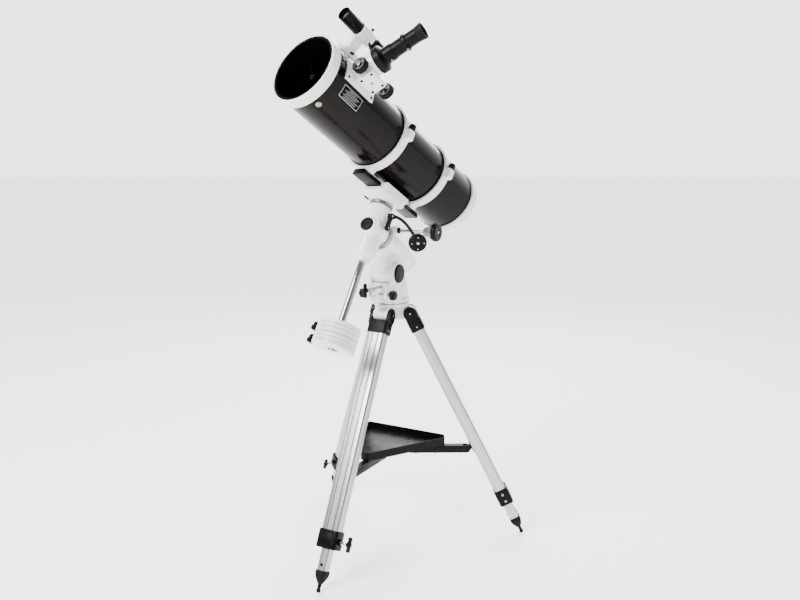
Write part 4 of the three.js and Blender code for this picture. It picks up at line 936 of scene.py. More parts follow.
class Frames:
    """The local frames of the sub-assemblies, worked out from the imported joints."""

    def __init__(self, joints: Sequence[dict]) -> None:
        """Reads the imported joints."""
        self.joints = {joint["name"]: joint for joint in joints}

    def at(self, joint: str) -> Vector:
        """A joint's place, in metres."""
        return Vector(self.joints[joint]["pos_m"])

    def along(self, joint: str) -> Vector:
        """A joint's direction."""
        return Vector(self.joints[joint]["axis"]).normalized()

    @property
    def mount(self) -> Place:
        """The azimuth axis at the floor, with Y out of the axle's near side."""
        origin = self.at("azimuth_turn")
        origin.z = 0.0
        y, z = -self.along("latitude_tilt"), Vector((0, 0, 1))
        return Place.of(origin, y.cross(z), z)

    @property
    def tripod(self) -> Place:
        """The azimuth axis at the floor, square to the row frame."""
        origin = self.at("azimuth_turn")
        origin.z = 0.0
        return Place.of(origin, Vector((1, 0, 0)), Vector((0, 0, 1)))

    @property
    def polar(self) -> Place:
        """The crossing of the two axes, with X up the polar axis."""
        x, y = self.along("polar_axis"), self.along("polar_slow_motion")
        return Place.of(self.at("polar_axis"), x, x.cross(y))

    @property
    def hour(self) -> Place:
        """The crossing of the two axes, with Z along the declination axis."""
        return Place.of(self.at("polar_axis"), self.along("polar_axis"), self.along("dec_axis"))

    @property
    def declination(self) -> Place:
        """The crossing of the two axes, turned with the saddle."""
        return Place.of(self.at("polar_axis"), self.along("dovetail_slide"), self.along("dec_axis"))

    @property
    def tube(self) -> Place:
        """The tube's axis between the rings, with X towards its mouth."""
        return Place.of(self.at("tube_turn"), self.along("tube_turn"), self.along("dec_axis"))

    @property
    def focuser(self) -> Place:
        """The focuser's axis where it meets the tube's, with Z out of the tube."""
        x, z = self.along("tube_turn"), self.along("drawtube_rack")
        y = z.cross(x)
        return Place.of(self.at("focus_knobs_turn") - y * 0.034 - z * 0.122, x, z)

    @property
    def finder(self) -> Place:
        """The tube's axis, with Z out towards the finder."""
        x, y = self.along("tube_turn"), self.along("finder_aim")
        z = x.cross(y)
        return Place.of(self.at("finder_aim") - x * 0.326 - z * 0.165, x, z)

    @property
    def slow_knob(self) -> Place:
        """The declination knob's own axis."""
        z = self.along("dec_slow_motion")
        return Place.of(self.at("dec_slow_motion"), z.orthogonal(), z)

    def leg(self, side: str) -> Place:
        """A leg's frame, with Z up the leg and Y along its hinge."""
        y, z = self.along(f"leg_{side}_fold"), -self.along(f"leg_{side}_extend")
        return Place.of(self.at(f"leg_{side}_fold"), y.cross(z), z)

    def brace(self, side: str) -> Place:
        """A brace arm's frame, with X outwards and Y along its hinge."""
        y, z = self.along(f"brace_{side}_fold"), Vector((0, 0, 1))
        return Place.of(self.at(f"brace_{side}_fold"), y.cross(z), z)


def lobes(count: int, depth: float, first: float = 0.0) -> Callable[[float], float]:
    """A radius factor that gives a knob its lobes."""
    return lambda angle: 1.0 - depth * (0.5 - 0.5 * math.cos(count * (angle - math.radians(first))))


# ------------------------------------------------------------------ tripod


@dataclass
class Leg:
    """One tripod leg: hinge bracket, upper extrusion, collar and clamp, lower extrusion and foot."""

    side: str
    depth: float = 33.0
    width: float = 51.0
    corner: float = 6.0
    top: float = -28.0
    bottom: float = -620.0
    groove: float = 3.0
    groove_depth: float = 1.2
    clamp_z: float = -624.0
    inner: Point = (27.4, 25.0)

    def upper_section(self) -> list[Point]:
        """The upper extrusion's outline, with two grooves on its outer face."""
        half, deep, wide = self.depth / 2, self.groove_depth, self.groove / 2
        outline = rectangle(self.depth, self.width, self.corner, 6)
        grooves: list[Point] = []
        for y in (-9.0, 9.0):
            grooves += [(half, y - wide), (half - deep * 0.7, y - wide * 0.55), (half - deep, y),
                        (half - deep * 0.7, y + wide * 0.55), (half, y + wide)]
        first = [p for p in outline if p[1] < 0 and p[0] > 0]
        start = outline.index(max(first, key=lambda p: p[1]))
        return outline[:start + 1] + grooves + outline[start + 1:]

    def build(self, place: Place) -> None:
        """Makes the leg's pieces.

        Args:
            place: the leg's frame.
        """
        self._bracket(place)
        self._upper(place)
        self._collar(place)
        self._lower(place)
        self._knob(place)

    def _bracket(self, place: Place) -> None:
        """The black hinge bracket at the top, with its pivot bolt."""
        shape = Shape(PLASTIC, CHROME, INK_AND_SHADE)
        shape.plate(Axis.Z, rectangle(40.4, 58.4, 6.0), -56.0, -19.6, bevel=1.6, segments=3)
        shape.plate(Axis.Z, rectangle(37.0, 55.0, 5.0), -19.8, -18.4, bevel=0.8)
        for low, high in ((22.8, 30.8), (-30.8, -22.8)):
            cheek = arc((0, 0), 19.0, 0, 180, 22) + [(-19, -21.6), (19, -21.6)]
            shape.plate(Axis.Y, cheek, low, high, bevel=1.4, segments=3)
        shape.bar(Axis.Y, 4.5, -31.0, 31.0, slot=1)
        for sign in (-1, 1):
            shape.bar(Axis.Y, 8.8, *sorted((sign * 30.6, sign * 31.8)), slot=0, steps=32, fillet=0.2)
            shape.bar(Axis.Y, 7.0, *sorted((sign * 31.6, sign * 34.2)), slot=0, steps=6, fillet=0.3)
            shape.bar(Axis.Y, 2.4, *sorted((sign * 34.0, sign * 34.8)), slot=1, steps=24, fillet=0.3)
            shape.bar(Axis.Y, 2.0, *sorted((sign * 28.9, sign * 29.6)), centre=(0, -44.0), slot=1,
                      fillet=0.3)
        shape.finish(f"bracket_{self.side}", place, f"leg_{self.side}", f"leg_bracket_{self.side}")

    def _upper(self, place: Place) -> None:
        """The upper extrusion, drawn from its section, with dark strips of painted shade in its grooves, and
        the brace's lug.
        """
        shape = Shape(ALUMINIUM, PLASTIC, CHROME, GROOVE_SHADE)
        shape.draw(self.upper_section(), self.bottom, self.top)
        # Dark strips in the two grooves: painted shade.
        for y in (-9.0, 9.0):
            shape.block((14.6, self.depth / 2 - 0.45), (y - 1.1, y + 1.1), (self.bottom, self.top), slot=3,
                        bevel=0)
        shape.block((-33.5, -15.3), (-6.9, 6.9), (-449.6, -436.0), slot=1, bevel=1.2)
        shape.bar(Axis.Y, 7.0, -7.0, 7.0, centre=(-33.5, -442.8), slot=1)
        shape.block((-19.2, -15.6), (-13.0, 13.0), (-462.0, -424.0), slot=1, bevel=1.4)
        for z in (-456.0, -430.0):
            shape.screw(Vector((-19.0, 0, z)), Vector((-1, 0, 0)), 3.0, slot=2, height=1.2, hole=1)
        shape.finish(f"leg_tube_{self.side}", place, f"leg_{self.side}", f"leg_upper_{self.side}")

    def _collar(self, place: Place) -> None:
        """The moulded collar at the upper extrusion's end, with its screws and clamp boss."""
        shape = Shape(PLASTIC, CHROME, INK_AND_SHADE)
        shape.plate(Axis.Z, rectangle(41.6, 59.6, 7.0), -646.0, -599.0, bevel=2.2, segments=4)
        shape.plate(Axis.Z, rectangle(38.0, 56.0, 6.0), -599.4, -597.4, bevel=0.9)
        shape.block((20.2, 21.4), (-14.0, 14.0), (-640.0, -606.0), bevel=0.5)
        for z in (-611.0, -633.0):
            shape.screw(Vector((0, -29.8, z)), Vector((0, -1, 0)), 3.6, slot=1, height=1.6, hole=2)
        shape.bar(Axis.Y, 8.0, 27.8, 36.8, centre=(0, self.clamp_z), fillet=1.0)
        shape.ring(Axis.Y, 3.7, 6.4, 36.6, 37.8, centre=(0, self.clamp_z), slot=1, steps=40, fillet=0.3)
        shape.finish(f"collar_{self.side}", place, f"leg_{self.side}", f"leg_collar_{self.side}")

    def _lower(self, place: Place) -> None:
        """The lower extrusion with its stop buttons, boot and spike."""
        shape = Shape(ALUMINIUM, RUBBER, CHROME, PLASTIC)
        shape.draw(rectangle(self.inner[0], self.inner[1], 4.0, 5), -708.0, -92.0)
        self._boot(shape)
        shape.lathe(Axis.Z, [(0, -733.5), (5.6, -733.5), (4.6, -747.0), (0, -747.0)], slot=1, fillet=0.4)
        reach = 6.4
        outline = [(0, -745.0)] + [
            (reach * math.cos(math.radians(a)), -752.5 + reach * math.sin(math.radians(a)))
            for a in range(80, -90, -10)
        ] + [(0, -752.5 - reach)]
        shape.lathe(Axis.Z, outline, slot=1, fillet=0, steps=40)
        for sign in (-1, 1):
            ends = sorted((sign * 13.0, sign * 16.2))
            shape.bar(Axis.X, 4.0, *ends, centre=(0, -688.0), slot=3, fillet=1.0)
        shape.finish(f"foot_{self.side}", place, f"foot_{self.side}", f"leg_lower_{self.side}")

    def _boot(self, shape: Shape) -> None:
        """The moulded boot, which narrows from the leg's section to the round toe."""
        rings = []
        for z, share in ((-702.0, 0.97), (-703.2, 1.0), (-711.0, 1.0), (-719.0, 0.90), (-727.0, 0.72),
                         (-733.0, 0.56), (-735.0, 0.48)):
            width, depth = 31.6 * share, 29.2 * share
            corner = min(4.5 + (1.0 - share) * 9.0, depth / 2 - 0.2)
            rings.append([(x, y, z) for x, y in rectangle(width, depth, corner, 8)])
        shape.skin(rings, 1)

    def _knob(self, place: Place) -> None:
        """The clamp's rod and two-lobed wing."""
        shape = Shape(PLASTIC, CHROME)
        shape.bar(Axis.Y, 3.4, 27.4, 57.0, centre=(0, self.clamp_z), slot=1)
        shape.lathe(Axis.Y, [(0, 52.6), (6.6, 52.6), (8.0, 55.2), (8.0, 61.4), (5.6, 64.8), (0, 64.8)],
                    centre=(0, self.clamp_z), fillet=1.2)
        wing = [
            (x, z + self.clamp_z)
            for x, z in arc((0, 13.4), 6.4, -20, 200, 16) + [(-4.4, 4.0), (-4.4, -4.0)]
            + arc((0, -13.4), 6.4, 160, 380, 16) + [(4.4, -4.0), (4.4, 4.0)]
        ]
        shape.plate(Axis.Y, [(x * 0.86, z) for x, z in wing], 55.0, 63.6, bevel=1.8, segments=4)
        shape.finish(f"clamp_{self.side}", place, f"leg_knob_{self.side}", f"leg_knob_{self.side}")


@dataclass
class Brace:
    """One channel-section arm that carries the tray."""

    side: str
    reach: float = 168.0
    width: float = 21.0
    wall: float = 2.4
    top: float = 11.0

    def build(self, place: Place) -> None:
        """Makes the arm.

        Args:
            place: the arm's frame.
        """
        shape = Shape(POWDER, CHROME, PLASTIC)
        half = self.width / 2
        inner = half - self.wall
        for low, high in ((inner, half), (-half, -inner)):
            flank = arc((0, 0), self.top, -90, 90, 16) + [(-self.reach, self.top), (-self.reach, -self.top)]
            shape.plate(Axis.Y, flank, low, high, bevel=0.7)
        shape.block((-self.reach, -11.0), (-inner - 0.4, inner + 0.4), (self.top - self.wall, self.top),
                    bevel=0.5)
        shape.bar(Axis.Y, 3.0, -half, half, slot=2)
        for sign in (-1, 1):
            shape.bar(Axis.Y, 5.6, *sorted((sign * (half - 0.2), sign * (half + 0.1))), slot=2, fillet=0.1)
        for x in (-150.0, -92.0):
            shape.bar(Axis.Z, 4.0, -15.0, self.top - 1.0, centre=(x, 0), slot=1)
            shape.bar(Axis.Z, 6.4, -12.6, -9.0, centre=(x, 0), slot=1, steps=6, fillet=0.2)
            shape.bar(Axis.Z, 7.4, -9.2, -8.0, centre=(x, 0), slot=1, fillet=0.2)
        shape.finish(f"brace_{self.side}", place, f"brace_{self.side}", f"brace_arm_{self.side}")


@dataclass
class TripodTop:
    """The tripod's head, with its lugs, and the accessory tray."""

    plate_radius: float = 50.0
    column_radius: float = 28.0
    tray_reach: float = 155.0
    tray_half: float = 13.0
    tray_low: float = 282.5
    tray_high: float = 306.0
    wall: float = 2.4
    azimuths: tuple[float, ...] = (1.0, -119.0, 121.0)

    def build(self, frames: Frames) -> None:
        """Makes the head and the tray."""
        self._head(frames)
        self._tray(frames)

    def _head(self, frames: Frames) -> None:
        """The white head: plate, column, three lugs and the peg that the mount is set by."""
        shape = Shape(WHITE_IRON, CHROME)
        low = 662.0
        shape.lathe(Axis.Z, [(0, low), (self.column_radius, low), (28.0, 694.0), (33.0, 700.5), (0, 700.5)],
                    fillet=3.0)
        shape.lathe(Axis.Z, [(0, 699.6), (self.plate_radius, 699.6), (self.plate_radius, 708.0),
                             (0, 708.0)],
                    fillet=1.2, steps=96)
        for azimuth in self.azimuths:
            turn = turned(Axis.Z, azimuth)
            shape.bar(Axis.Y, 17.4, -22.3, 22.3, centre=(51.0, 678.6), fillet=1.2, matrix=turn, steps=48)
            shape.block((14.0, 51.0), (-22.3, 22.3), (661.2, 700.6), bevel=1.4, matrix=turn)
        x = frames.mount.matrix.to_3x3().normalized() @ Vector((1, 0, 0))
        turn = turned(Axis.Z, math.degrees(math.atan2(x.y, x.x)))
        peg = [(42, -8), (72, -8)] + arc((76, 0), 8.0, -70, 70, 10) + [(72, 8), (42, 8)]
        shape.plate(Axis.Z, peg, 699.6, 708.0, bevel=1.0, matrix=turn)
        shape.bar(Axis.Z, 5.0, 706.0, 746.0, centre=(76.0, 0.0), matrix=turn, fillet=1.2)
        shape.finish("head", frames.tripod, "head", "tripod_head")

    def _outline(self, inset: float) -> list[Point]:
        """The tray's triangle with cut corners, inset all round."""
        points: list[Point] = []
        for azimuth in self.azimuths[:1] + self.azimuths[2:] + self.azimuths[1:2]:
            out = Vector((math.cos(math.radians(azimuth)), math.sin(math.radians(azimuth))))
            across = Vector((-out.y, out.x))
            corner = self.tray_reach - inset
            for side in (-1, 1):
                points.append(tuple(out * corner + across * side * (self.tray_half - inset * 0.5)))
        return smooth_corners(points, 7.0, True, 5)

    def _tray(self, frames: Frames) -> None:
        """The pressed tray: floor and upstanding rim with a rolled lip."""
        shape = Shape(POWDER, CHROME)
        outer, inner = self._outline(0.0), self._outline(self.wall)
        shape.plate(Axis.Z, outer, self.tray_low, self.tray_low + self.wall, bevel=0.8)
        rim = ((outer, self.tray_low + 1.0), (outer, self.tray_high - 0.6),
               (self._outline(0.7), self.tray_high),
               (self._outline(self.wall - 0.6), self.tray_high), (inner, self.tray_high - 0.6),
               (inner, self.tray_low + 1.0))
        shape.skin([[(x, y, z) for x, y in points] for points, z in rim], closed=True)
        shape.finish("tray", frames.tripod, "tray", "tray")


# ------------------------------------------------------------------ mount


@dataclass
class Base:
    """The fork that holds the polar axis, with its azimuth and latitude bolts."""

    disc: float = 46.0
    disc_low: float = 708.4
    disc_high: float = 722.4
    cheek: Point = (29.4, 41.4)
    axle: Point = (32.0, 796.0)
    axle_radius: float = 31.0
    bolt: Point = (76.0, 741.0)
    front_z: float = 760.0

    def build(self, frames: Frames) -> None:
        """Makes the base, its axle and its four bolts."""
        place = frames.mount
        shape = Shape(WHITE_IRON, CHROME, INK_AND_SHADE)
        shape.lathe(Axis.Z, [(0, self.disc_low), (self.disc, self.disc_low), (self.disc, self.disc_high),
                             (0, self.disc_high)], fillet=2.0, steps=96)
        low, high = self.cheek
        curve = arc(self.axle, self.axle_radius, 0, 144, 26)
        cheek = [(-34.0, 710.4), (44.0, 710.4), (63.0, 760.0), (63.0, 796.0)] + curve[1:]
        for ends in ((low, high), (-high, -low)):
            shape.plate(Axis.Y, cheek, *ends, bevel=1.8, segments=3)
        for ends in ((24.0, 34.0), (-34.0, -24.0)):
            ear = arc(self.bolt, 11.0, -90, 90, 16) + [(30.0, 752.0), (30.0, 730.0)]
            shape.plate(Axis.Y, ear, *ends, bevel=1.4, segments=3)
        shape.block((48.0, 58.0), (-30.4, 30.4), (712.4, 769.4), bevel=1.2)
        shape.block((-30.0, -20.0), (-30.4, 30.4), (712.4, 769.4), bevel=1.2)
        for y in (-34.0, 34.0):
            shape.bar(Axis.Z, 3.4, 722.0, 724.6, centre=(-8.0, y * 0.6), slot=1, steps=24)
        shape.finish("base", place, "base", "azimuth_base")
        cap = Shape(PLASTIC, CHROME, INK_AND_SHADE)
        cap.lathe(Axis.Y, [(0, 41.4), (26.5, 41.4), (26.5, 43.6), (24.5, 46.7), (0, 46.7)],
                  centre=self.axle,
                  fillet=1.2, steps=72)
        cap.lathe(Axis.Y, [(0, -46.7), (16.0, -46.7), (18.0, -44.6), (18.0, -41.6), (0, -41.6)],
                  centre=self.axle, fillet=0.8)
        cap.bar(Axis.Y, 7.0, -42.0, 42.0, centre=self.axle, slot=1)
        cap.bar(Axis.Y, 8.4, -46.72, -45.0, centre=self.axle, slot=1, steps=6, fillet=0.3)
        cap.finish("axle_cap", place, "base", "latitude_axle")
        for side in ("right", "left"):
            self._azimuth_bolt(place, side)
        self._front_bolt(place)
        self._rear_bolt(place)

    def _azimuth_bolt(self, place: Place, side: str) -> None:
        """A side bolt that pushes the peg, with its lobed knob."""
        low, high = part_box(f"azimuth_bolt_{side}")
        sign = 1 if (place.matrix.inverted() @ ((low + high) / 2)).y > 0 else -1
        shape = Shape(PLASTIC, CHROME)
        shape.bar(Axis.Y, 4.0, *sorted((sign * 5.5, sign * 40.0)), centre=self.bolt, slot=1)
        shape.lathe(Axis.Y, [(0, sign * 39.0), (8.5, sign * 39.0), (14.0, sign * 43.0), (14.0, sign * 54.0),
                             (11.0, sign * 57.0), (0, sign * 57.0)], centre=self.bolt, steps=80, fillet=1.4,
                    wave=lobes(6, 0.12))
        shape.bar(Axis.Y, 4.4, *sorted((sign * 56.0, sign * 56.95)), centre=self.bolt, slot=1)
        shape.finish(f"azimuth_bolt_{side}", place, f"azimuth_bolt_{side}", f"azimuth_bolt_{side}")

    def _front_bolt(self, place: Place) -> None:
        """The long latitude bolt with its T handle."""
        shape = Shape(PLASTIC, CHROME)
        shape.bar(Axis.X, 4.0, 38.6, 146.0, centre=(0, self.front_z), slot=1)
        shape.lathe(Axis.X, [(0, 136.0), (7.0, 136.0), (7.0, 146.5), (5.0, 148.0), (0, 148.0)],
                    centre=(0, self.front_z), fillet=1.0)
        outline = [(0, 740.0), (3.6, 740.2), (5.3, 742.6), (5.5, 748.0), (4.8, 760.0), (5.5, 772.0),
                   (5.3, 777.4), (3.6, 779.8), (0, 780.0)]
        shape.lathe(Axis.Z, outline, centre=(143.0, 0.0), fillet=1.2, steps=40)
        shape.finish("latitude_bolt_front", place, "latitude_bolt_front", "latitude_bolt_front")

    def _rear_bolt(self, place: Place) -> None:
        """The short rear latitude bolt with its round nut."""
        low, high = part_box("latitude_bolt_rear")
        z = round((place.matrix.inverted() @ ((low + high) / 2)).z, 1)
        shape = Shape(PLASTIC, CHROME)
        shape.bar(Axis.X, 4.0, -54.0, 25.4, centre=(0, z), slot=1)
        shape.lathe(Axis.X, [(0, -56.0), (11.0, -56.0), (13.0, -53.6), (13.0, -42.0), (10.0, -40.0),
                             (0, -40.0)],
                    centre=(0, z), fillet=1.0, steps=72, wave=lobes(8, 0.06))
        shape.finish("latitude_bolt_rear", place, "latitude_bolt_rear", "latitude_bolt_rear")


@dataclass
class Polar:
    """The polar axis's white housing, its setting circle and its slow-motion knob."""

    worm_x: float = -60.0
    worm_z: float = 30.0
    lug: Point = (-123.9, -71.9)

    def build(self, frames: Frames) -> None:
        """Makes the housing, circle and knob."""
        place = frames.polar
        shape = Shape(WHITE, CHROME, PLASTIC, INK_AND_SHADE)
        shape.lathe(
            Axis.X,
            [(0, -222.0), (23.4, -222.0), (27.6, -220.4), (30.5, -216.4), (30.5, -206.6), (29.9, -206.0),
             (29.9, -205.4), (31.0, -204.8), (31.0, -177.0), (35.0, -165.0), (35.0, -55.0), (32.0, -47.0),
             (0, -47.0)],
            fillet=1.4, steps=96,
        )
        shape.bar(Axis.Y, 30.0, -29.0, 29.0, centre=self.lug, fillet=1.6, steps=72)
        shape.block((self.lug[0] - 30, self.lug[0] + 30), (-29.0, 29.0), (self.lug[1], -10.0), bevel=1.6)
        shape.bar(Axis.Y, 6.0, -10.0, 10.0, centre=(-142.4, -102.8), slot=1)
        shape.lathe(Axis.Y, [(0, -24.0), (10.5, -24.0), (12.0, -22.4), (12.0, 41.0), (0, 41.0)],
                    centre=(self.worm_x, self.worm_z), fillet=0.8)
        shape.lathe(Axis.Y, [(0, 40.0), (8.0, 40.0), (8.0, 46.0), (7.0, 47.0), (0, 47.0)],
                    centre=(self.worm_x, self.worm_z), slot=2)
        shape.bar(Axis.Y, 5.0, -24.3, -23.5, centre=(self.worm_x, self.worm_z), slot=1)
        for x in (-85.0, -72.0):
            shape.screw(Vector((x, 34.6, 0)), Vector((0, 1, 0)), 3.0, slot=1, height=0.9, hole=3)
        shape.finish("polar_housing", place, "polar_unit", "polar_housing")
        circle = Shape(SILVER, INK_AND_SHADE)
        circle.ring(Axis.X, 20.0, 38.0, -46.4, -34.4, steps=120, fillet=0.5)
        self.scale(circle, Axis.X, 37.95, -45.6, 4.0, 72)
        circle.finish("polar_circle", place, "polar_circle", "polar_circle")
        knob = Shape(PLASTIC, CHROME, SILVER)
        centre = (self.worm_x, self.worm_z)
        knob.bar(Axis.Y, 4.0, 31.0, 126.0, centre=centre, slot=1)
        knob.lathe(Axis.Y, [(0, 122.0), (9.0, 122.0), (11.0, 124.0), (14.0, 134.0), (22.6, 150.0),
                            (24.0, 152.6),
                            (0, 152.6)], centre=centre, slot=2, fillet=2.0)
        knob.lathe(Axis.Y, [(0, 152.0), (25.0, 152.0), (25.0, 162.0), (22.6, 165.4), (9.0, 165.4),
                            (7.5, 163.6),
                            (0, 163.6)], centre=centre, fillet=1.0, steps=96, wave=lobes(24, 0.035))
        knob.bar(Axis.Y, 4.0, 163.0, 165.6, centre=centre, slot=1)
        knob.finish("polar_slow_knob", place, "polar_slow_knob", "polar_slow_knob")

    @staticmethod
    def scale(shape: Shape, axis: Axis, radius: float, low: float, length: float, count: int) -> None:
        """Lays the scale's marks round a circle.

        Args:
            shape: the circle's shape, whose second slot is the ink.
            axis: the circle's axis.
            radius: radius of the face that carries the marks.
            low: where the marks start along the axis.
            length: length of the long marks.
            count: number of marks.
        """
        for every, part in ((count, 0.55), (count // 6, 1.0)):
            middle = Matrix.Translation(axis.lay(0, 0, low + length * part / 2))
            values = {"Count": every, "Radius": radius, "Depth": 0.12, "Width": 0.5,
                      "Length": length * part}
            shape.pattern(Pattern.marks(), values, middle @ axis.stand, 1)


@dataclass
class Declination:
    """The declination axis: housing, flexible drive, circle, lever, shaft, weights and saddle."""

    worm: Point = (-26.0, 56.0)
    lever_z: float = 44.0
    shaft_end: float = -352.0
    weight_radius: float = 58.0
    bore: float = 10.6
    weights: tuple[tuple[str, float, float, float], ...] = (
        ("lower", -348.0, -314.0, -331.0), ("upper", -312.8, -278.8, -295.8),
    )

    def build(self, frames: Frames) -> None:
        """Makes every piece on the declination axis."""
        self._housing(frames.hour)
        self._flex(frames.hour)
        self._small(frames)
        self._weights(frames.hour)
        self._saddle(frames.declination)

    def _housing(self, place: Place) -> None:
        """The white housing: an upright along the axis and the barrel that crosses it."""
        shape = Shape(WHITE, PLASTIC, CHROME, INK_AND_SHADE)
        shape.lathe(
            Axis.Z,
            [(0, -95.0), (19.0, -95.0), (20.0, -94.0), (20.0, -87.0), (31.0, -72.0), (31.0, 66.0),
             (28.0, 70.0),
             (0, 70.0)],
            fillet=1.8, steps=96,
        )
        shape.lathe(Axis.X, [(0, -34.0), (33.0, -34.0), (33.0, 27.0), (26.0, 31.0), (24.0, 35.0),
                             (0, 35.0)],
                    fillet=1.6, steps=96)
        shape.bar(Axis.X, 19.0, -77.0, -33.0, slot=2, fillet=1.0)
        shape.lathe(Axis.X, [(0, 34.0), (19.0, 34.0), (19.0, 38.2), (17.0, 40.0), (0, 40.0)], slot=1,
                    fillet=0.8)
        shape.lathe(Axis.Y, [(0, -22.0), (9.6, -22.0), (11.0, -20.6), (11.0, 31.4), (0, 31.4)],
                    centre=self.worm, fillet=0.8)
        shape.lathe(Axis.Y, [(0, 31.0), (7.1, 31.0), (7.1, 36.4), (6.4, 37.0), (0, 37.0)], centre=self.worm,
                    slot=1, fillet=0.4)
        shape.bar(Axis.Y, 6.0, 0.0, 34.0, centre=(0, self.lever_z), fillet=1.0)
        shape.finish("dec_housing", place, "declination_unit", "dec_housing")
        rod = Shape(CHROME, SILVER)
        rod.bar(Axis.Z, 10.0, self.shaft_end, -73.0, fillet=1.4, steps=48)
        rod.finish("counterweight_shaft", place, "declination_unit", "counterweight_shaft")

    def _flex(self, place: Place) -> None:
        """The flexible drive: a smooth bend with a ferrule at each end."""
        aim = Vector((0.55, 0.62, -0.56)).normalized()
        start, end = Vector((self.worm[0], 37.3, self.worm[1])), Vector((50.0, 176.0, -42.0)) - aim * 22
        near, far = start + Vector((0, 30, 0)), end - aim * 34
        path = []
        for k in range(61):
            t, u = k / 60, 1 - k / 60
            path.append(start * u ** 3 + near * 3 * t * u ** 2 + far * 3 * t * t * u + end * t ** 3)
        shape = Shape(RUBBER, CHROME)
        radii = [4.2 + (0.35 if k % 2 else 0.0) for k in range(61)]
        shape.sweep(path, [4.55 if k < 7 or k > 53 else radii[k] for k in range(61)], steps=20)
        shape.finish("dec_flex_shaft", place, "declination_unit", "dec_flex_shaft")

    def _small(self, frames: Frames) -> None:
        """The knob, lever and setting circle."""
        knob = Shape(PLASTIC, CHROME)
        knob.lathe(Axis.Z, [(0, 0.3), (7.6, 0.3), (8.6, 1.4), (10.5, 8.0), (22.4, 20.6), (24.0, 24.0),
                            (24.0, 33.0),
                            (21.6, 36.6), (9.0, 36.6), (7.5, 35.0), (0, 35.0)], fillet=1.4, steps=96,
                   wave=lobes(24, 0.03))
        knob.bar(Axis.Z, 3.6, 34.6, 36.6, slot=1)
        for angle in around(4, 45):
            at = Vector((15.6 * math.cos(math.radians(angle)), 15.6 * math.sin(math.radians(angle)), 36.3))
            knob.bar(Axis.Z, 1.5, 36.2, 36.9, centre=(at.x, at.y), slot=1, steps=16, fillet=0.2)
        knob.finish("dec_slow_knob", frames.slow_knob, "dec_slow_knob", "dec_slow_knob")
        lever = Shape(ANODISED, CHROME)
        lever.bar(Axis.Y, 8.0, 34.4, 48.2, centre=(0, self.lever_z), fillet=1.6, steps=40)
        arm = [(-7.6, self.lever_z), (-7.0, 28.0), (-8.5, 7.0), (-5.6, 2.1), (5.6, 2.1), (8.5, 7.0),
               (7.0, 28.0),
               (7.6, self.lever_z)]
        lever.plate(Axis.Y, smooth_corners(arm, 4.0, True, 6), 37.6, 46.4, bevel=2.6, segments=5)
        lever.bar(Axis.Y, 4.0, 47.6, 48.25, centre=(0, self.lever_z), slot=1, fillet=0.2)
        lever.bar(Axis.Y, 2.6, 46.0, 46.8, centre=(0, 10.0), slot=1, fillet=0.2)
        lever.finish("dec_lock_lever", frames.hour, "dec_lock_lever", "dec_lock_lever")
        circle = Shape(SILVER, INK_AND_SHADE)
        circle.ring(Axis.Z, 17.5, 33.0, 70.5, 78.3, steps=120, fillet=0.4)
        Polar.scale(circle, Axis.Z, 32.95, 71.0, 4.4, 72)
        circle.finish("dec_circle", frames.hour, "dec_circle", "dec_circle")

    def _weights(self, place: Place) -> None:
        """Two counterweights with turned grooves, a dark ring of painted shade in each groove, and their
        lobed clamp knobs.
        """
        for name, low, high, knob_z in self.weights:
            outer, bore = self.weight_radius, self.bore
            shape = Shape(WHITE_IRON, SILVER, INK_AND_SHADE)
            outline = [(bore, low + 1), (bore + 1.2, low), (outer - 3, low), (outer, low + 3)]
            for z in (low + 11.5, low + 22.5):
                outline += [(outer, z - 0.7), (outer - 1.1, z - 0.4), (outer - 1.1, z + 0.4),
                            (outer, z + 0.7)]
                # A dark ring at the bottom of the groove: painted shade.
                shape.ring(Axis.Z, outer - 2.4, outer - 1.0, z - 0.5, z + 0.5, slot=2, steps=128, fillet=0)
            outline += [(outer, high - 3), (outer - 3, high), (bore + 1.2, high), (bore, high - 1)]
            shape.lathe(Axis.Z, outline, closed=True, fillet=0.35, steps=128)
            shape.ring(Axis.Z, bore + 0.6, bore + 3.4, low - 0.05, low + 0.6, slot=2, steps=96, fillet=0.1)
            shape.finish(f"weight_{name}", place, f"weight_{name}", f"counterweight_{name}")
            knob = Shape(PLASTIC, CHROME)
            knob.bar(Axis.Y, 4.0, -70.0, -36.0, centre=(0, knob_z), slot=1)
            knob.lathe(Axis.Y, [(0, -81.0), (12.0, -81.0), (15.0, -78.4), (15.0, -71.0), (9.0, -67.0),
                                (0, -67.0)],
                       centre=(0, knob_z), fillet=1.4, steps=96, wave=lobes(3, 0.34, 90))
            knob.finish(f"weight_knob_{name}", place, f"weight_knob_{name}", f"counterweight_knob_{name}")

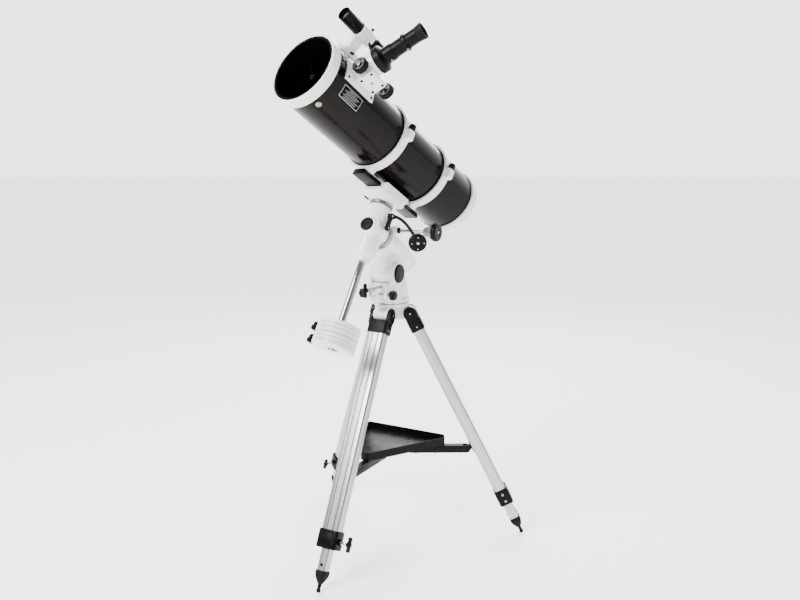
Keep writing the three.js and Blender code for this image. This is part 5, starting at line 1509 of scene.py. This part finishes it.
    def _saddle(self, place: Place) -> None:
        """The white saddle with its dovetail jaws and clamp knob."""
        shape = Shape(WHITE, CHROME, BRASS, INK_AND_SHADE)
        shape.bar(Axis.Z, 17.0, 42.0, 80.0, slot=1, fillet=0.8, steps=64)
        shape.lathe(Axis.Z, [(0, 79.0), (30.0, 79.0), (40.0, 92.5), (0, 92.5)], fillet=1.6, steps=96)
        shape.plate(Axis.Z, rectangle(110.0, 92.0, 27.0, 12), 92.0, 104.0, bevel=2.2, segments=4)
        for sign in (1, -1):
            jaw = [(sign * 46.0, 103.0), (sign * 46.0, 117.0), (sign * 19.4, 117.0), (sign * 24.6, 104.2),
                   (sign * 24.6, 103.0)]
            shape.plate(Axis.X, jaw, -49.0, 49.0, bevel=1.2, segments=3)
            for x in (-34.0, 34.0):
                shape.screw(Vector((x, sign * 36.0, 116.6)), Vector((0, 0, 1)), 2.8, slot=2, height=0.38,
                            hole=3)
        for x, z in ((-30.0, 98.0), (30.0, 98.0)):
            shape.bar(Axis.Y, 3.4, 45.2, 45.95, centre=(x * 0.75, z), slot=2, fillet=0.2)
            shape.bar(Axis.Y, 3.4, -45.95, -45.2, centre=(x * 0.75, z), slot=2, fillet=0.2)
        shape.finish("saddle", place, "saddle", "saddle")
        knob = Shape(PLASTIC, CHROME)
        knob.bar(Axis.Y, 5.0, -56.0, -23.9, centre=(0, 110.5), slot=1)
        knob.lathe(Axis.Y, [(0, -68.0), (12.4, -68.0), (15.0, -65.6), (15.0, -57.0), (9.0, -54.0),
                            (0, -54.0)],
                   centre=(0, 110.5), steps=96, fillet=1.4, wave=lobes(6, 0.16))
        knob.finish("saddle_knob", place, "saddle_knob", "saddle_knob")


# ------------------------------------------------------------------ tube


@dataclass
class Rings:
    """The dovetail bar and the two hinged tube rings."""

    places: tuple[tuple[str, float], ...] = (("front", 94.0), ("rear", -106.0))
    width: float = 24.0
    inside: float = 93.2
    outside: float = 100.0

    def build(self, frames: Frames) -> None:
        """Makes the bar, both rings and their knobs."""
        bar = Shape(ANODISED, CHROME, INK_AND_SHADE)
        section = [(-22.0, 104.6), (22.0, 104.6), (22.0, 106.6), (17.2, 119.9), (-17.2, 119.9),
                   (-22.0, 106.6)]
        bar.plate(Axis.X, section, -133.0, 121.0, bevel=0.7)
        bar.finish("dovetail_bar", frames.declination, "cradle", "dovetail_bar")
        for name, x in self.places:
            self._lower(frames.tube, name, x)
            self._upper(frames.tube, name, x)
            self._knob(frames.tube, name, x)

    def _half(self, x: float, low: float, high: float, inside: float, outside: float, width: float) -> list:
        """Rings of corners round half a band."""
        return [
            [(x + side * width / 2, radius * math.cos(math.radians(a)), radius * math.sin(math.radians(a)))
             for radius, side in ((inside, -1), (outside, -1), (outside, 1), (inside, 1))]
            for a in (low + (high - low) * k / 48 for k in range(49))
        ]

    def _lower(self, place: Place, name: str, x: float) -> None:
        """The fixed half: band, foot on the bar, clamp block and hinge."""
        shape = Shape(WHITE, FELT, CHROME, INK_AND_SHADE)
        shape.skin(self._half(x, 180.2, 359.8, self.inside, self.outside, self.width), 0, bevel=1.2)
        lining = (self.inside - 2.0, self.inside + 0.4, self.width - 5)
        shape.skin(self._half(x, 181.5, 358.5, *lining), 1, bevel=0.3)
        foot = [(-15.0, -109.7), (15.0, -109.7), (22.0, -96.0), (-22.0, -96.0)]
        shape.plate(Axis.X, [(y, z) for y, z in foot], x - 12.0, x + 12.0, bevel=1.2, segments=3)
        block = [(97.0, -0.15), (117.0, -0.15), (117.0, -11.0), (112.0, -15.0), (97.0, -15.0)]
        shape.plate(Axis.X, block, x - 9.0, x + 9.0, bevel=1.2, segments=3)
        shape.bar(Axis.X, 5.6, x - 12.0, x - 4.2, centre=(-107.6, 0), fillet=0.6)
        shape.bar(Axis.X, 5.6, x + 4.2, x + 12.0, centre=(-107.6, 0), fillet=0.6)
        shape.bar(Axis.X, 2.4, x - 12.6, x + 12.6, centre=(-107.6, 0), slot=2, fillet=0.5)
        for ends in ((x - 12.0, x - 4.2), (x + 4.2, x + 12.0)):
            shape.plate(Axis.X, [(-107.6, -5.4), (-97.0, -11.0), (-97.0, -0.2), (-104.0, -0.2)], *ends,
                        bevel=0.4)
        shape.finish(f"ring_lower_{name}", place, "cradle", f"ring_lower_{name}")

    def _upper(self, place: Place, name: str, x: float) -> None:
        """The opening half."""
        shape = Shape(WHITE, FELT, CHROME, INK_AND_SHADE)
        shape.skin(self._half(x, 0.2, 179.8, self.inside, self.outside, self.width), 0, bevel=1.2)
        lining = (self.inside - 2.0, self.inside + 0.4, self.width - 5)
        shape.skin(self._half(x, 1.5, 178.5, *lining), 1, bevel=0.3)
        block = [(97.0, 0.15), (117.0, 0.15), (117.0, 11.0), (112.0, 15.0), (97.0, 15.0)]
        shape.plate(Axis.X, block, x - 9.0, x + 9.0, bevel=1.2, segments=3)
        shape.bar(Axis.X, 5.6, x - 3.8, x + 3.8, centre=(-107.6, 0), fillet=0.6)
        shape.plate(Axis.X, [(-107.6, 5.4), (-104.0, 0.2), (-97.0, 0.2), (-97.0, 11.0)], x - 3.8, x + 3.8,
                    bevel=0.4)
        shape.finish(f"ring_upper_{name}", place, f"ring_upper_{name}", f"ring_upper_{name}")

    def _knob(self, place: Place, name: str, x: float) -> None:
        """The ring's clamp bolt and lobed knob."""
        shape = Shape(PLASTIC, CHROME)
        shape.bar(Axis.Z, 3.0, -13.0, 17.3, centre=(x, 109.0), slot=1)
        shape.lathe(Axis.Z, [(0, 15.3), (6.4, 15.3), (10.0, 18.0), (10.0, 28.8), (7.8, 31.3), (0, 31.3)],
                    centre=(x, 109.0), fillet=1.2, steps=80, wave=lobes(6, 0.14))
        shape.finish(f"ring_knob_{name}", place, f"ring_knob_{name}", f"ring_knob_{name}")


@dataclass
class OpticalTube:
    """The black tube with its end rings, mirrors and spider."""

    inside: float = 89.4
    outside: float = 91.0
    rear: float = -272.7
    front: float = 406.7
    focus_x: float = 300.0
    hole: float = 30.0
    mirror_radius: float = 75.0
    cell_holes: tuple[float, ...] = (60.0, 180.0, 300.0)
    label: tuple[float, float, float, float] = (273.0, 343.0, -10.0, 10.0)
    label_turn: float = -49.4

    def build(self, frames: Frames) -> None:
        """Makes every piece of the tube."""
        place = frames.tube
        out = place.matrix.to_3x3().normalized().inverted() @ frames.along("drawtube_rack")
        self.focus_angle = math.degrees(math.atan2(out.z, out.y))
        self.focus_x = (place.matrix.inverted() @ (frames.at("focus_knobs_turn"))).x
        self._shell(place)
        self._ends(place)
        self._mirror(place)
        self._spider(place)

    def _shell(self, place: Place) -> None:
        """The rolled tube, lacquered outside and flat black inside."""
        shape = Shape(TUBE_BLACK, INSIDE_BLACK)
        steps, part = 192, bmesh.new()
        stations = sorted({self.rear, self.front, *(self.focus_x + d for d in (-60.0, 60.0)), 0.0, 150.0,
                           -150.0})
        skins = []
        for radius in (self.outside, self.inside):
            skins.append([
                [part.verts.new((x, radius * math.cos(2 * math.pi * k / steps),
                                 radius * math.sin(2 * math.pi * k / steps)))
                 for k in range(steps)]
                for x in stations
            ])
        for skin, slot in zip(skins, (0, 1)):
            for low, high in zip(skin, skin[1:]):
                for k in range(steps):
                    part.faces.new((low[k], low[(k + 1) % steps], high[(k + 1) % steps],
                                    high[k])).material_index = slot
        for end in (0, -1):
            outer, inner = skins[0][end], skins[1][end]
            for k in range(steps):
                part.faces.new((outer[k], outer[(k + 1) % steps], inner[(k + 1) % steps],
                                inner[k])).material_index = 0
        bmesh.ops.recalc_face_normals(part, faces=part.faces)
        held = bpy.data.meshes.new("shell")
        part.to_mesh(held)
        part.free()
        shape.mesh.from_mesh(held)
        bpy.data.meshes.remove(held)
        shape.finish("tube_shell", place, "tube", "tube_shell")
        panel = Shape(PANEL, WHITE)
        low, high, first, last = self.label
        middle = self.focus_angle + self.label_turn
        for inset, lift, slot in ((0.0, 0.35, 1), (0.7, 0.5, 0)):
            turn = math.degrees(inset / self.outside)
            corners = [
                [(x, (self.outside + r) * math.cos(math.radians(a)),
                  (self.outside + r) * math.sin(math.radians(a)))
                 for r, x in ((-0.2, low + inset), (lift, low + inset), (lift, high - inset),
                              (-0.2, high - inset))]
                for a in (middle + first + turn + (last - first - 2 * turn) * k / 24 for k in range(25))
            ]
            panel.skin(corners, slot)
        for row, (near, far) in enumerate(((0.16, 0.84), (0.10, 0.90), (0.22, 0.78), (0.12, 0.88),
                                           (0.30, 0.70))):
            a = middle + first + (last - first) * (row + 1) / 6
            ends = [low + (high - low) * near, low + (high - low) * far]
            panel.block((ends[0], ends[1]), (self.outside + 0.45, self.outside + 0.62), (-0.28, 0.28),
                        slot=1,
                        bevel=0, matrix=turned(Axis.X, a))
        panel.finish("label_panel", place, "tube")

    def _ends(self, place: Place) -> None:
        """The white mouth ring and the white mirror cell."""
        front = Shape(WHITE, INSIDE_BLACK)
        front.lathe(
            Axis.X,
            [(91.3, 383.0), (96.5, 383.0), (98.0, 385.0), (98.0, 409.5), (96.0, 412.0), (92.6, 412.0),
             (91.3, 410.6)],
            closed=True, fillet=1.4, steps=160,
        )
        front.lathe(Axis.X, [(84.5, 407.0), (91.2, 407.0), (91.2, 410.4), (85.6, 410.4), (84.5, 409.6)],
                    closed=True, fillet=0.4, steps=160, slot=1)
        front.finish("front_ring", place, "tube", "front_ring")
        cell = Shape(WHITE, CHROME, INK_AND_SHADE, RUBBER)
        cell.lathe(
            Axis.X,
            [(0, -278.0), (94.0, -278.0), (97.0, -275.0), (97.0, -251.5), (95.5, -250.0), (91.3, -250.0),
             (91.3, -273.0), (0, -273.0)],
            fillet=1.2, steps=160,
        )
        for angle in self.cell_holes:
            for turn, radius, slot in ((0.0, 3.4, 1), (12.0, 2.6, 1)):
                a = math.radians(angle + 60 + turn)
                centre = (52.0 * math.cos(a), 52.0 * math.sin(a))
                cell.bar(Axis.X, radius, -278.2, -277.4, centre=centre, slot=slot, fillet=0.2)
            # A flat dark disc on the cell's back at each hole: painted shade in place of the open hole.
            a = math.radians(angle)
            centre = (58.0 * math.cos(a), 58.0 * math.sin(a))
            cell.bar(Axis.X, 20.0, -278.15, -277.6, centre=centre, slot=2, fillet=0.2, steps=64)
            cell.bar(Axis.X, 6.0, -274.0, -259.2, centre=(70.0 * math.cos(a + 1), 70.0 * math.sin(a + 1)),
                     slot=3)
        cell.finish("rear_cell", place, "tube", "rear_cell")

    def _mirror(self, place: Place) -> None:
        """The primary mirror: a dished, coated face on a ground disc."""
        shape = Shape(MIRROR, GROUND_GLASS)
        dish = [(self.mirror_radius * k / 16, -238.9 + 1.9 * (k / 16) ** 2) for k in range(17)]
        shape.lathe(Axis.X, [(0, -240.2), (self.mirror_radius - 0.4, -240.2), *dish[::-1]], steps=128,
                    fillet=0)
        shape.bar(Axis.X, self.mirror_radius - 0.2, -259.0, -239.6, steps=128, fillet=1.0, slot=1)
        shape.finish("primary_mirror", place, "tube", "primary_mirror")

    def _spider(self, place: Place) -> None:
        """The four vanes, their nuts, the holder and the tilted flat."""
        shape = Shape(INSIDE_BLACK, BRASS, SILVER)
        for angle in around(4, self.focus_angle):
            turn = turned(Axis.X, angle)
            shape.block((359.4, 370.6), (8.0, 89.0), (-0.7, 0.7), bevel=0.3, matrix=turn)
            shape.lathe(Axis.Y, [(0, 88.6), (2.6, 88.6), (2.6, 90.0), (0, 90.0)], centre=(365, 0), slot=0,
                        matrix=turn)
            shape.lathe(Axis.Y, [(0, 91.8), (8.0, 91.8), (8.0, 93.2), (6.5, 96.0), (0, 96.0)],
                        centre=(365, 0),
                        slot=1, matrix=turn, steps=64, fillet=0.8)
            shape.knurl(Axis.Y, 8.0, 92.2, 94.0, 28, 0.45, centre=(365, 0), slot=1, matrix=turn)
            shape.bar(Axis.Y, 2.4, 88.6, 92.4, centre=(365, 0), slot=1, matrix=turn)
        shape.lathe(Axis.X, [(0, 332.0), (9.0, 332.0), (9.0, 374.0), (8.0, 375.0), (0, 375.0)], fillet=0.6)
        for angle in around(3, 30):
            a = math.radians(angle)
            shape.bar(Axis.X, 1.6, 374.0, 375.0, centre=(5.4 * math.cos(a), 5.4 * math.sin(a)), slot=2,
                      fillet=0.2)
        self._holder(shape, 22.0)
        shape.finish("spider", place, "tube", "spider")
        flat = Shape(MIRROR, GROUND_GLASS)
        self._flat(flat)
        flat.finish("secondary_mirror", place, "tube", "secondary_mirror")

    def _holder(self, shape: Shape, radius: float) -> None:
        """The flat's holder: a round bar cut at 45 degrees towards the focuser."""
        toward = math.radians(self.focus_angle)
        low, high = [], []
        for angle in around(64):
            a = math.radians(angle)
            y, z = radius * math.cos(a), radius * math.sin(a)
            low.append((self.focus_x + 7.0 + y * math.cos(toward) + z * math.sin(toward), y, z))
            high.append((338.0, y, z))
        shape.skin([low, high], 0)

    def _flat(self, shape: Shape) -> None:
        """The elliptical flat, its coated face towards the focuser."""
        toward = math.radians(self.focus_angle)
        for slot, near, far, scale in ((1, 0.4, 7.6, 1.0), (0, 0.0, 0.5, 0.985)):
            low, high = [], []
            for angle in around(72):
                a = math.radians(angle)
                y, z = 22.0 * scale * math.cos(a), 22.0 * scale * math.sin(a)
                out = self.focus_x - 0.9 + y * math.cos(toward) + z * math.sin(toward)
                low.append((out + near, y, z))
                high.append((out + far, y, z))
            shape.skin([low, high], slot)


@dataclass
class Focuser:
    """The rack focuser: base, drawtube, knobs and eyepiece."""

    pinion: Point = (34.0, 122.0)

    def build(self, frames: Frames) -> None:
        """Makes the focuser's pieces."""
        place = frames.focuser
        self._body(place)
        self._drawtube(place)
        self._knobs(place)
        self._eyepiece(place)

    def _body(self, place: Place) -> None:
        """The white base, foot and pinion housing."""
        shape = Shape(WHITE, PLASTIC, CHROME, INK_AND_SHADE)
        angles = [math.degrees(math.asin(max(-0.95, min(0.95, y / 97.0)))) for y in (-30.0, 53.0)]
        corners = [
            [(x, radius * math.sin(math.radians(a)), radius * math.cos(math.radians(a)))
             for radius, x in ((91.4, -54.0), (97.0, -54.0), (97.0, 54.0), (91.4, 54.0))]
            for a in (angles[0] + (angles[1] - angles[0]) * k / 40 for k in range(41))
        ]
        shape.skin(corners, 0, bevel=1.2)
        shape.lathe(Axis.Z, [(25.7, 92.0), (32.0, 92.0), (32.0, 100.0), (30.0, 109.0), (30.0, 146.0),
                             (29.0, 147.0),
                             (25.7, 147.0)], closed=True, fillet=0.9, steps=96)
        housing = [(27.0, 88.0), (46.0, 92.0), (46.0, 134.0), (42.0, 138.0), (24.0, 138.0), (24.0, 120.0)]
        shape.plate(Axis.X, housing, -40.0, 22.0, bevel=1.6, segments=3)
        for x, y in ((-45.0, -22.0), (45.0, -22.0), (-45.0, 45.0), (45.0, 45.0)):
            out = Vector((0, y, math.sqrt(97.0 ** 2 - y * y))).normalized()
            shape.screw(Vector((x, 0, 0)) + out * 96.8, out, 3.6, slot=1, height=1.2, hole=3)
        for x in (-32.0, 14.0):
            for z in (100.0, 130.0):
                shape.bar(Axis.Y, 3.8, 45.6, 46.4, centre=(x, z), slot=1, fillet=0.2)
        shape.bar(Axis.Y, 4.6, 45.0, 46.5, centre=(-9.0, 114.0), slot=2)
        # A dark hexagon in the screw's socket: painted shade.
        shape.bar(Axis.Y, 2.0, 46.3, 46.6, centre=(-9.0, 114.0), slot=3, steps=6, fillet=0)
        shape.finish("focuser_body", place, "tube", "focuser_body")

    def _drawtube(self, place: Place) -> None:
        """The drawtube with its wide flange, adapter and thumbscrews."""
        shape = Shape(ANODISED, CHROME, SILVER)
        shape.ring(Axis.Z, 22.6, 25.0, 100.0, 149.0, steps=96, slot=1, fillet=0.4)
        shape.lathe(
            Axis.Z,
            [(22.6, 148.4), (33.5, 148.4), (33.5, 164.9), (31.5, 167.2), (21.0, 172.9), (21.0, 198.0),
             (19.0, 198.0),
             (19.0, 229.0), (22.0, 229.0), (22.0, 237.0), (16.4, 237.0), (16.4, 166.9), (22.6, 156.9)],
            closed=True, fillet=0.8, steps=112,
        )
        shape.knurl(Axis.Z, 33.3, 150.6, 163.0, 72, 0.5)
        shape.knurl(Axis.Z, 21.8, 230.6, 235.4, 56, 0.4)
        for z in (186.0, 233.0):
            shape.bar(Axis.Y, 2.0, 18.0, 25.0, centre=(0, z), slot=1)
            shape.bar(Axis.Y, 3.0, 23.6, 29.8, centre=(0, z), slot=2, fillet=0.6)
            shape.knurl(Axis.Y, 2.9, 24.4, 29.2, 18, 0.22, centre=(0, z), slot=2)
        shape.finish("drawtube", place, "drawtube", "drawtube")

    def _knobs(self, place: Place) -> None:
        """The pinion shaft with a knurled, three-spoked knob at each end."""
        shape = Shape(PLASTIC, CHROME, SILVER)
        centre = self.pinion
        shape.bar(Axis.X, 3.0, -56.0, 38.0, centre=centre, slot=1)
        shape.bar(Axis.X, 6.6, -7.0, 7.0, centre=centre, slot=1, steps=24)
        for near, far in ((36.0, 53.0), (-54.0, -71.0)):
            side = 1 if far > near else -1
            shape.lathe(
                Axis.X,
                [(0, near + side * 1.6), (15.4, near + side * 1.6), (16.0, near), (18.4, near),
                 (19.4, near + side * 1.4), (19.4, far - side * 1.4), (18.4, far), (16.0, far),
                 (15.4, far - side * 1.6), (0, far - side * 1.6)],
                centre=centre, fillet=0.6, steps=96,
            )
            low, high = sorted((near + side * 2.4, far - side * 1.6))
            shape.knurl(Axis.X, 19.5, low, high, 60, 0.5, centre=centre)
            for face, way in ((far, side), (near, -side)):
                shape.ring(Axis.X, 13.2, 15.6, *sorted((face - way * 2.0, face - way * 0.5)),
                           centre=centre, slot=2,
                           fillet=0.2)
                for angle in around(3, 90):
                    a = math.radians(angle)
                    ends = sorted((face - way * 2.0, face - way * 0.2))
                    spoke = [(4.0, -2.6), (14.0, -3.4), (14.0, 3.4), (4.0, 2.6)]
                    turn = [
                        (centre[0] + u * math.cos(a) - v * math.sin(a),
                         centre[1] + u * math.sin(a) + v * math.cos(a))
                        for u, v in spoke
                    ]
                    shape.plate(Axis.X, turn, *ends, slot=2, bevel=0.2)
            shape.lathe(Axis.X, [(0, far - side * 2), (8.0, far - side * 2), (8.0, far + side * 1.6),
                                 (6.2, far + side * 3), (0, far + side * 3)], centre=centre, fillet=0.7,
                                 slot=2)
        shape.finish("focus_knobs", place, "focus_knobs", "focus_knobs")

    def _eyepiece(self, place: Place) -> None:
        """The eyepiece: chrome barrel, black body, flared rubber eyecup and eye lens."""
        shape = Shape(ANODISED, CHROME, RUBBER, LENS)
        shape.lathe(Axis.Z, [(0, 207.0), (15.9, 207.0), (15.9, 237.6), (0, 237.6)], slot=1, fillet=0.8,
                    steps=72)
        shape.lathe(Axis.Z, [(0, 237.3), (18.2, 237.3), (18.2, 268.0), (0, 268.0)], fillet=0.9, steps=80)
        shape.knurl(Axis.Z, 17.8, 244.0, 258.0, 48, 0.5)
        shape.lathe(
            Axis.Z,
            [(0, 267.0), (18.2, 267.0), (18.6, 270.0), (21.0, 285.0), (18.7, 285.0), (16.8, 276.8),
             (8.8, 275.2),
             (0, 275.2)],
            slot=2, fillet=0.6, steps=80,
        )
        shape.lathe(Axis.Z, [(0, 275.0), (8.4, 275.0), (6.0, 275.8), (0, 276.0)], slot=3, fillet=0.2,
                    steps=48)
        shape.finish("eyepiece", place, "eyepiece", "eyepiece")


@dataclass
class Finder:
    """The finder telescope and its sprung bracket."""

    height: float = 165.0

    def build(self, frames: Frames) -> None:
        """Makes the bracket and the finder."""
        place, axis = frames.finder, (0.0, self.height)
        shape = Shape(WHITE, CHROME, PLASTIC, INK_AND_SHADE)
        shape.ring(Axis.X, 16.4, 19.8, 303.0, 350.0, centre=axis, steps=96, fillet=0.9)
        shape.block((320.0, 349.0), (-9.0, 9.0), (110.0, 147.4), bevel=1.6, segments=3)
        shape.block((311.0, 361.0), (-17.0, 17.0), (96.8, 112.0), bevel=2.4, segments=3)
        shape.bar(Axis.Z, 4.0, self.height + 17.0, self.height + 27.0, centre=(314.0, 0.0), slot=2,
                  fillet=1.0)
        shape.ring(Axis.Z, 2.0, 5.4, self.height + 18.8, self.height + 21.0, centre=(314.0, 0.0), slot=1)
        for angle in (120.0, -120.0):
            turn = Matrix.Translation((0, 0, self.height)) @ turned(Axis.X, angle)
            shape.bar(Axis.Z, 1.9, 14.4, 25.0, centre=(311.0, 0.0), slot=2, matrix=turn)
            shape.bar(Axis.Z, 3.4, 23.0, 31.0, centre=(311.0, 0.0), slot=2, matrix=turn, fillet=0.7)
            shape.knurl(Axis.Z, 3.3, 24.2, 29.8, 18, 0.25, centre=(311.0, 0.0), slot=2, matrix=turn)
        shape.bar(Axis.Y, 3.6, 16.0, 27.0, centre=(336.0, 106.0), slot=2, fillet=0.7)
        shape.knurl(Axis.Y, 3.5, 19.0, 26.0, 20, 0.25, centre=(336.0, 106.0), slot=2)
        shape.finish("finder_bracket", place, "tube", "finder_bracket")
        scope = Shape(ANODISED, RUBBER, LENS)
        scope.lathe(
            Axis.X,
            [(0, 268.0), (7.6, 268.0), (9.0, 267.0), (9.0, 262.0), (16.5, 262.0), (16.5, 286.0),
             (13.5, 289.0),
             (13.5, 350.0), (17.5, 352.0), (17.5, 409.0), (15.7, 409.0), (15.7, 395.0), (0, 395.0)],
            centre=axis, fillet=0.7, steps=96,
        )
        scope.knurl(Axis.X, 16.3, 265.0, 284.0, 48, 0.45, centre=axis)
        scope.lathe(Axis.X, [(0, 394.0), (15.5, 394.0), (12.0, 396.6), (0, 398.0)], centre=axis, slot=2,
                    steps=64)
        scope.lathe(Axis.X, [(0, 268.4), (7.4, 268.4), (5.0, 267.4), (0, 267.0)], centre=axis, slot=2,
                    steps=48)
        scope.finish("finder", place, "finder", "finder")


# ------------------------------------------------------------------ studio


@dataclass
class Studio:
    """A pale floor, a plain bright background, soft lights and the camera."""

    camera: tuple[float, float, float] = (0.0235, -2.3224, 1.1224)
    pitch: float = 80.0
    lens: float = 37.125
    floor: float = 40.0
    front_light: float = 0.5
    back_light: float = 3.3
    glow: float = 1.15

    def build(self, frames: Frames) -> None:
        """Sets the whole stage."""
        scene = bpy.context.scene
        mesh = bpy.data.meshes.new("floor")
        half = self.floor
        mesh.from_pydata([(-half, -half, 0), (half, -half, 0), (half, half, 0), (-half, half, 0)], [],
                         [(0, 1, 2, 3)])
        floor = bpy.data.objects.new("floor", mesh)
        scene.collection.objects.link(floor)
        paint = bpy.data.materials.new("Pale floor")
        paint.use_nodes = True
        tree = paint.node_tree
        place = node(tree, "ShaderNodeTexCoord").outputs["Object"]
        noise = node(tree, Kind.NOISE, {"Vector": place, "Scale": 3.0}).outputs["Fac"]
        rough = node(tree, Kind.RANGE, {"Value": noise, "To Min": 0.55, "To Max": 0.6})
        surface = tree.nodes["Principled BSDF"]
        surface.inputs["Base Color"].default_value = (0.93, 0.93, 0.93, 1)
        surface.inputs["Emission Color"].default_value = (1, 1, 1, 1)
        surface.inputs["Emission Strength"].default_value = self.glow
        tree.links.new(rough.outputs["Result"], surface.inputs["Roughness"])
        mesh.materials.append(paint)
        world = bpy.data.worlds.new("Studio")
        world.use_nodes = True
        tree = world.node_tree
        direction = node(tree, "ShaderNodeTexCoord").outputs["Generated"]
        ahead = node(tree, "ShaderNodeSeparateXYZ", {0: direction}).outputs["Y"]
        level = node(tree, Kind.RANGE, {
            "Value": ahead, "From Min": -0.1, "From Max": 0.75, "To Min": self.front_light,
            "To Max": self.back_light,
        }, interpolation_type="SMOOTHSTEP")
        background = tree.nodes["Background"]
        background.inputs["Color"].default_value = (1, 1, 1, 1)
        tree.links.new(level.outputs["Result"], background.inputs["Strength"])
        scene.world = world
        axis = frames.at("azimuth_turn")
        for name, at, size, power in (
            ("key", (-2.2, -2.0, 2.9), 1.8, 260.0), ("side", (2.6, -0.9, 2.0), 1.8, 16.0),
            ("back", (0.5, 2.4, 2.8), 2.4, 130.0),
        ):
            light = bpy.data.lights.new(name, "AREA")
            light.size, light.energy = size, power
            lamp = bpy.data.objects.new(name, light)
            lamp.location = Vector((axis.x, axis.y, 0)) + Vector(at)
            aim = Vector((axis.x, axis.y, 0.85)) - lamp.location
            lamp.rotation_euler = aim.to_track_quat("-Z", "Y").to_euler()
            scene.collection.objects.link(lamp)
        camera = bpy.data.cameras.new("camera")
        camera.lens, camera.sensor_width = self.lens, 36.0
        eye = bpy.data.objects.new("camera", camera)
        eye.location = Vector((axis.x, axis.y, 0)) + Vector(self.camera)
        eye.rotation_euler = (math.radians(self.pitch), 0.0, 0.0)
        scene.collection.objects.link(eye)
        scene.camera = eye


def main() -> None:
    """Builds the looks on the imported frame."""
    logging.basicConfig(level=logging.INFO, format="%(name)s: %(message)s")
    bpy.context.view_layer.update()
    frames = Frames(frame["joints"])
    for side in ("right", "front", "rear"):
        Leg(side).build(frames.leg(side))
        Brace(side).build(frames.brace(side))
    for part in (TripodTop(), Base(), Polar(), Declination(), Rings(), OpticalTube(), Focuser(), Finder()):
        part.build(frames)
    Studio().build(frames)


if __name__ == "__main__":
    main()
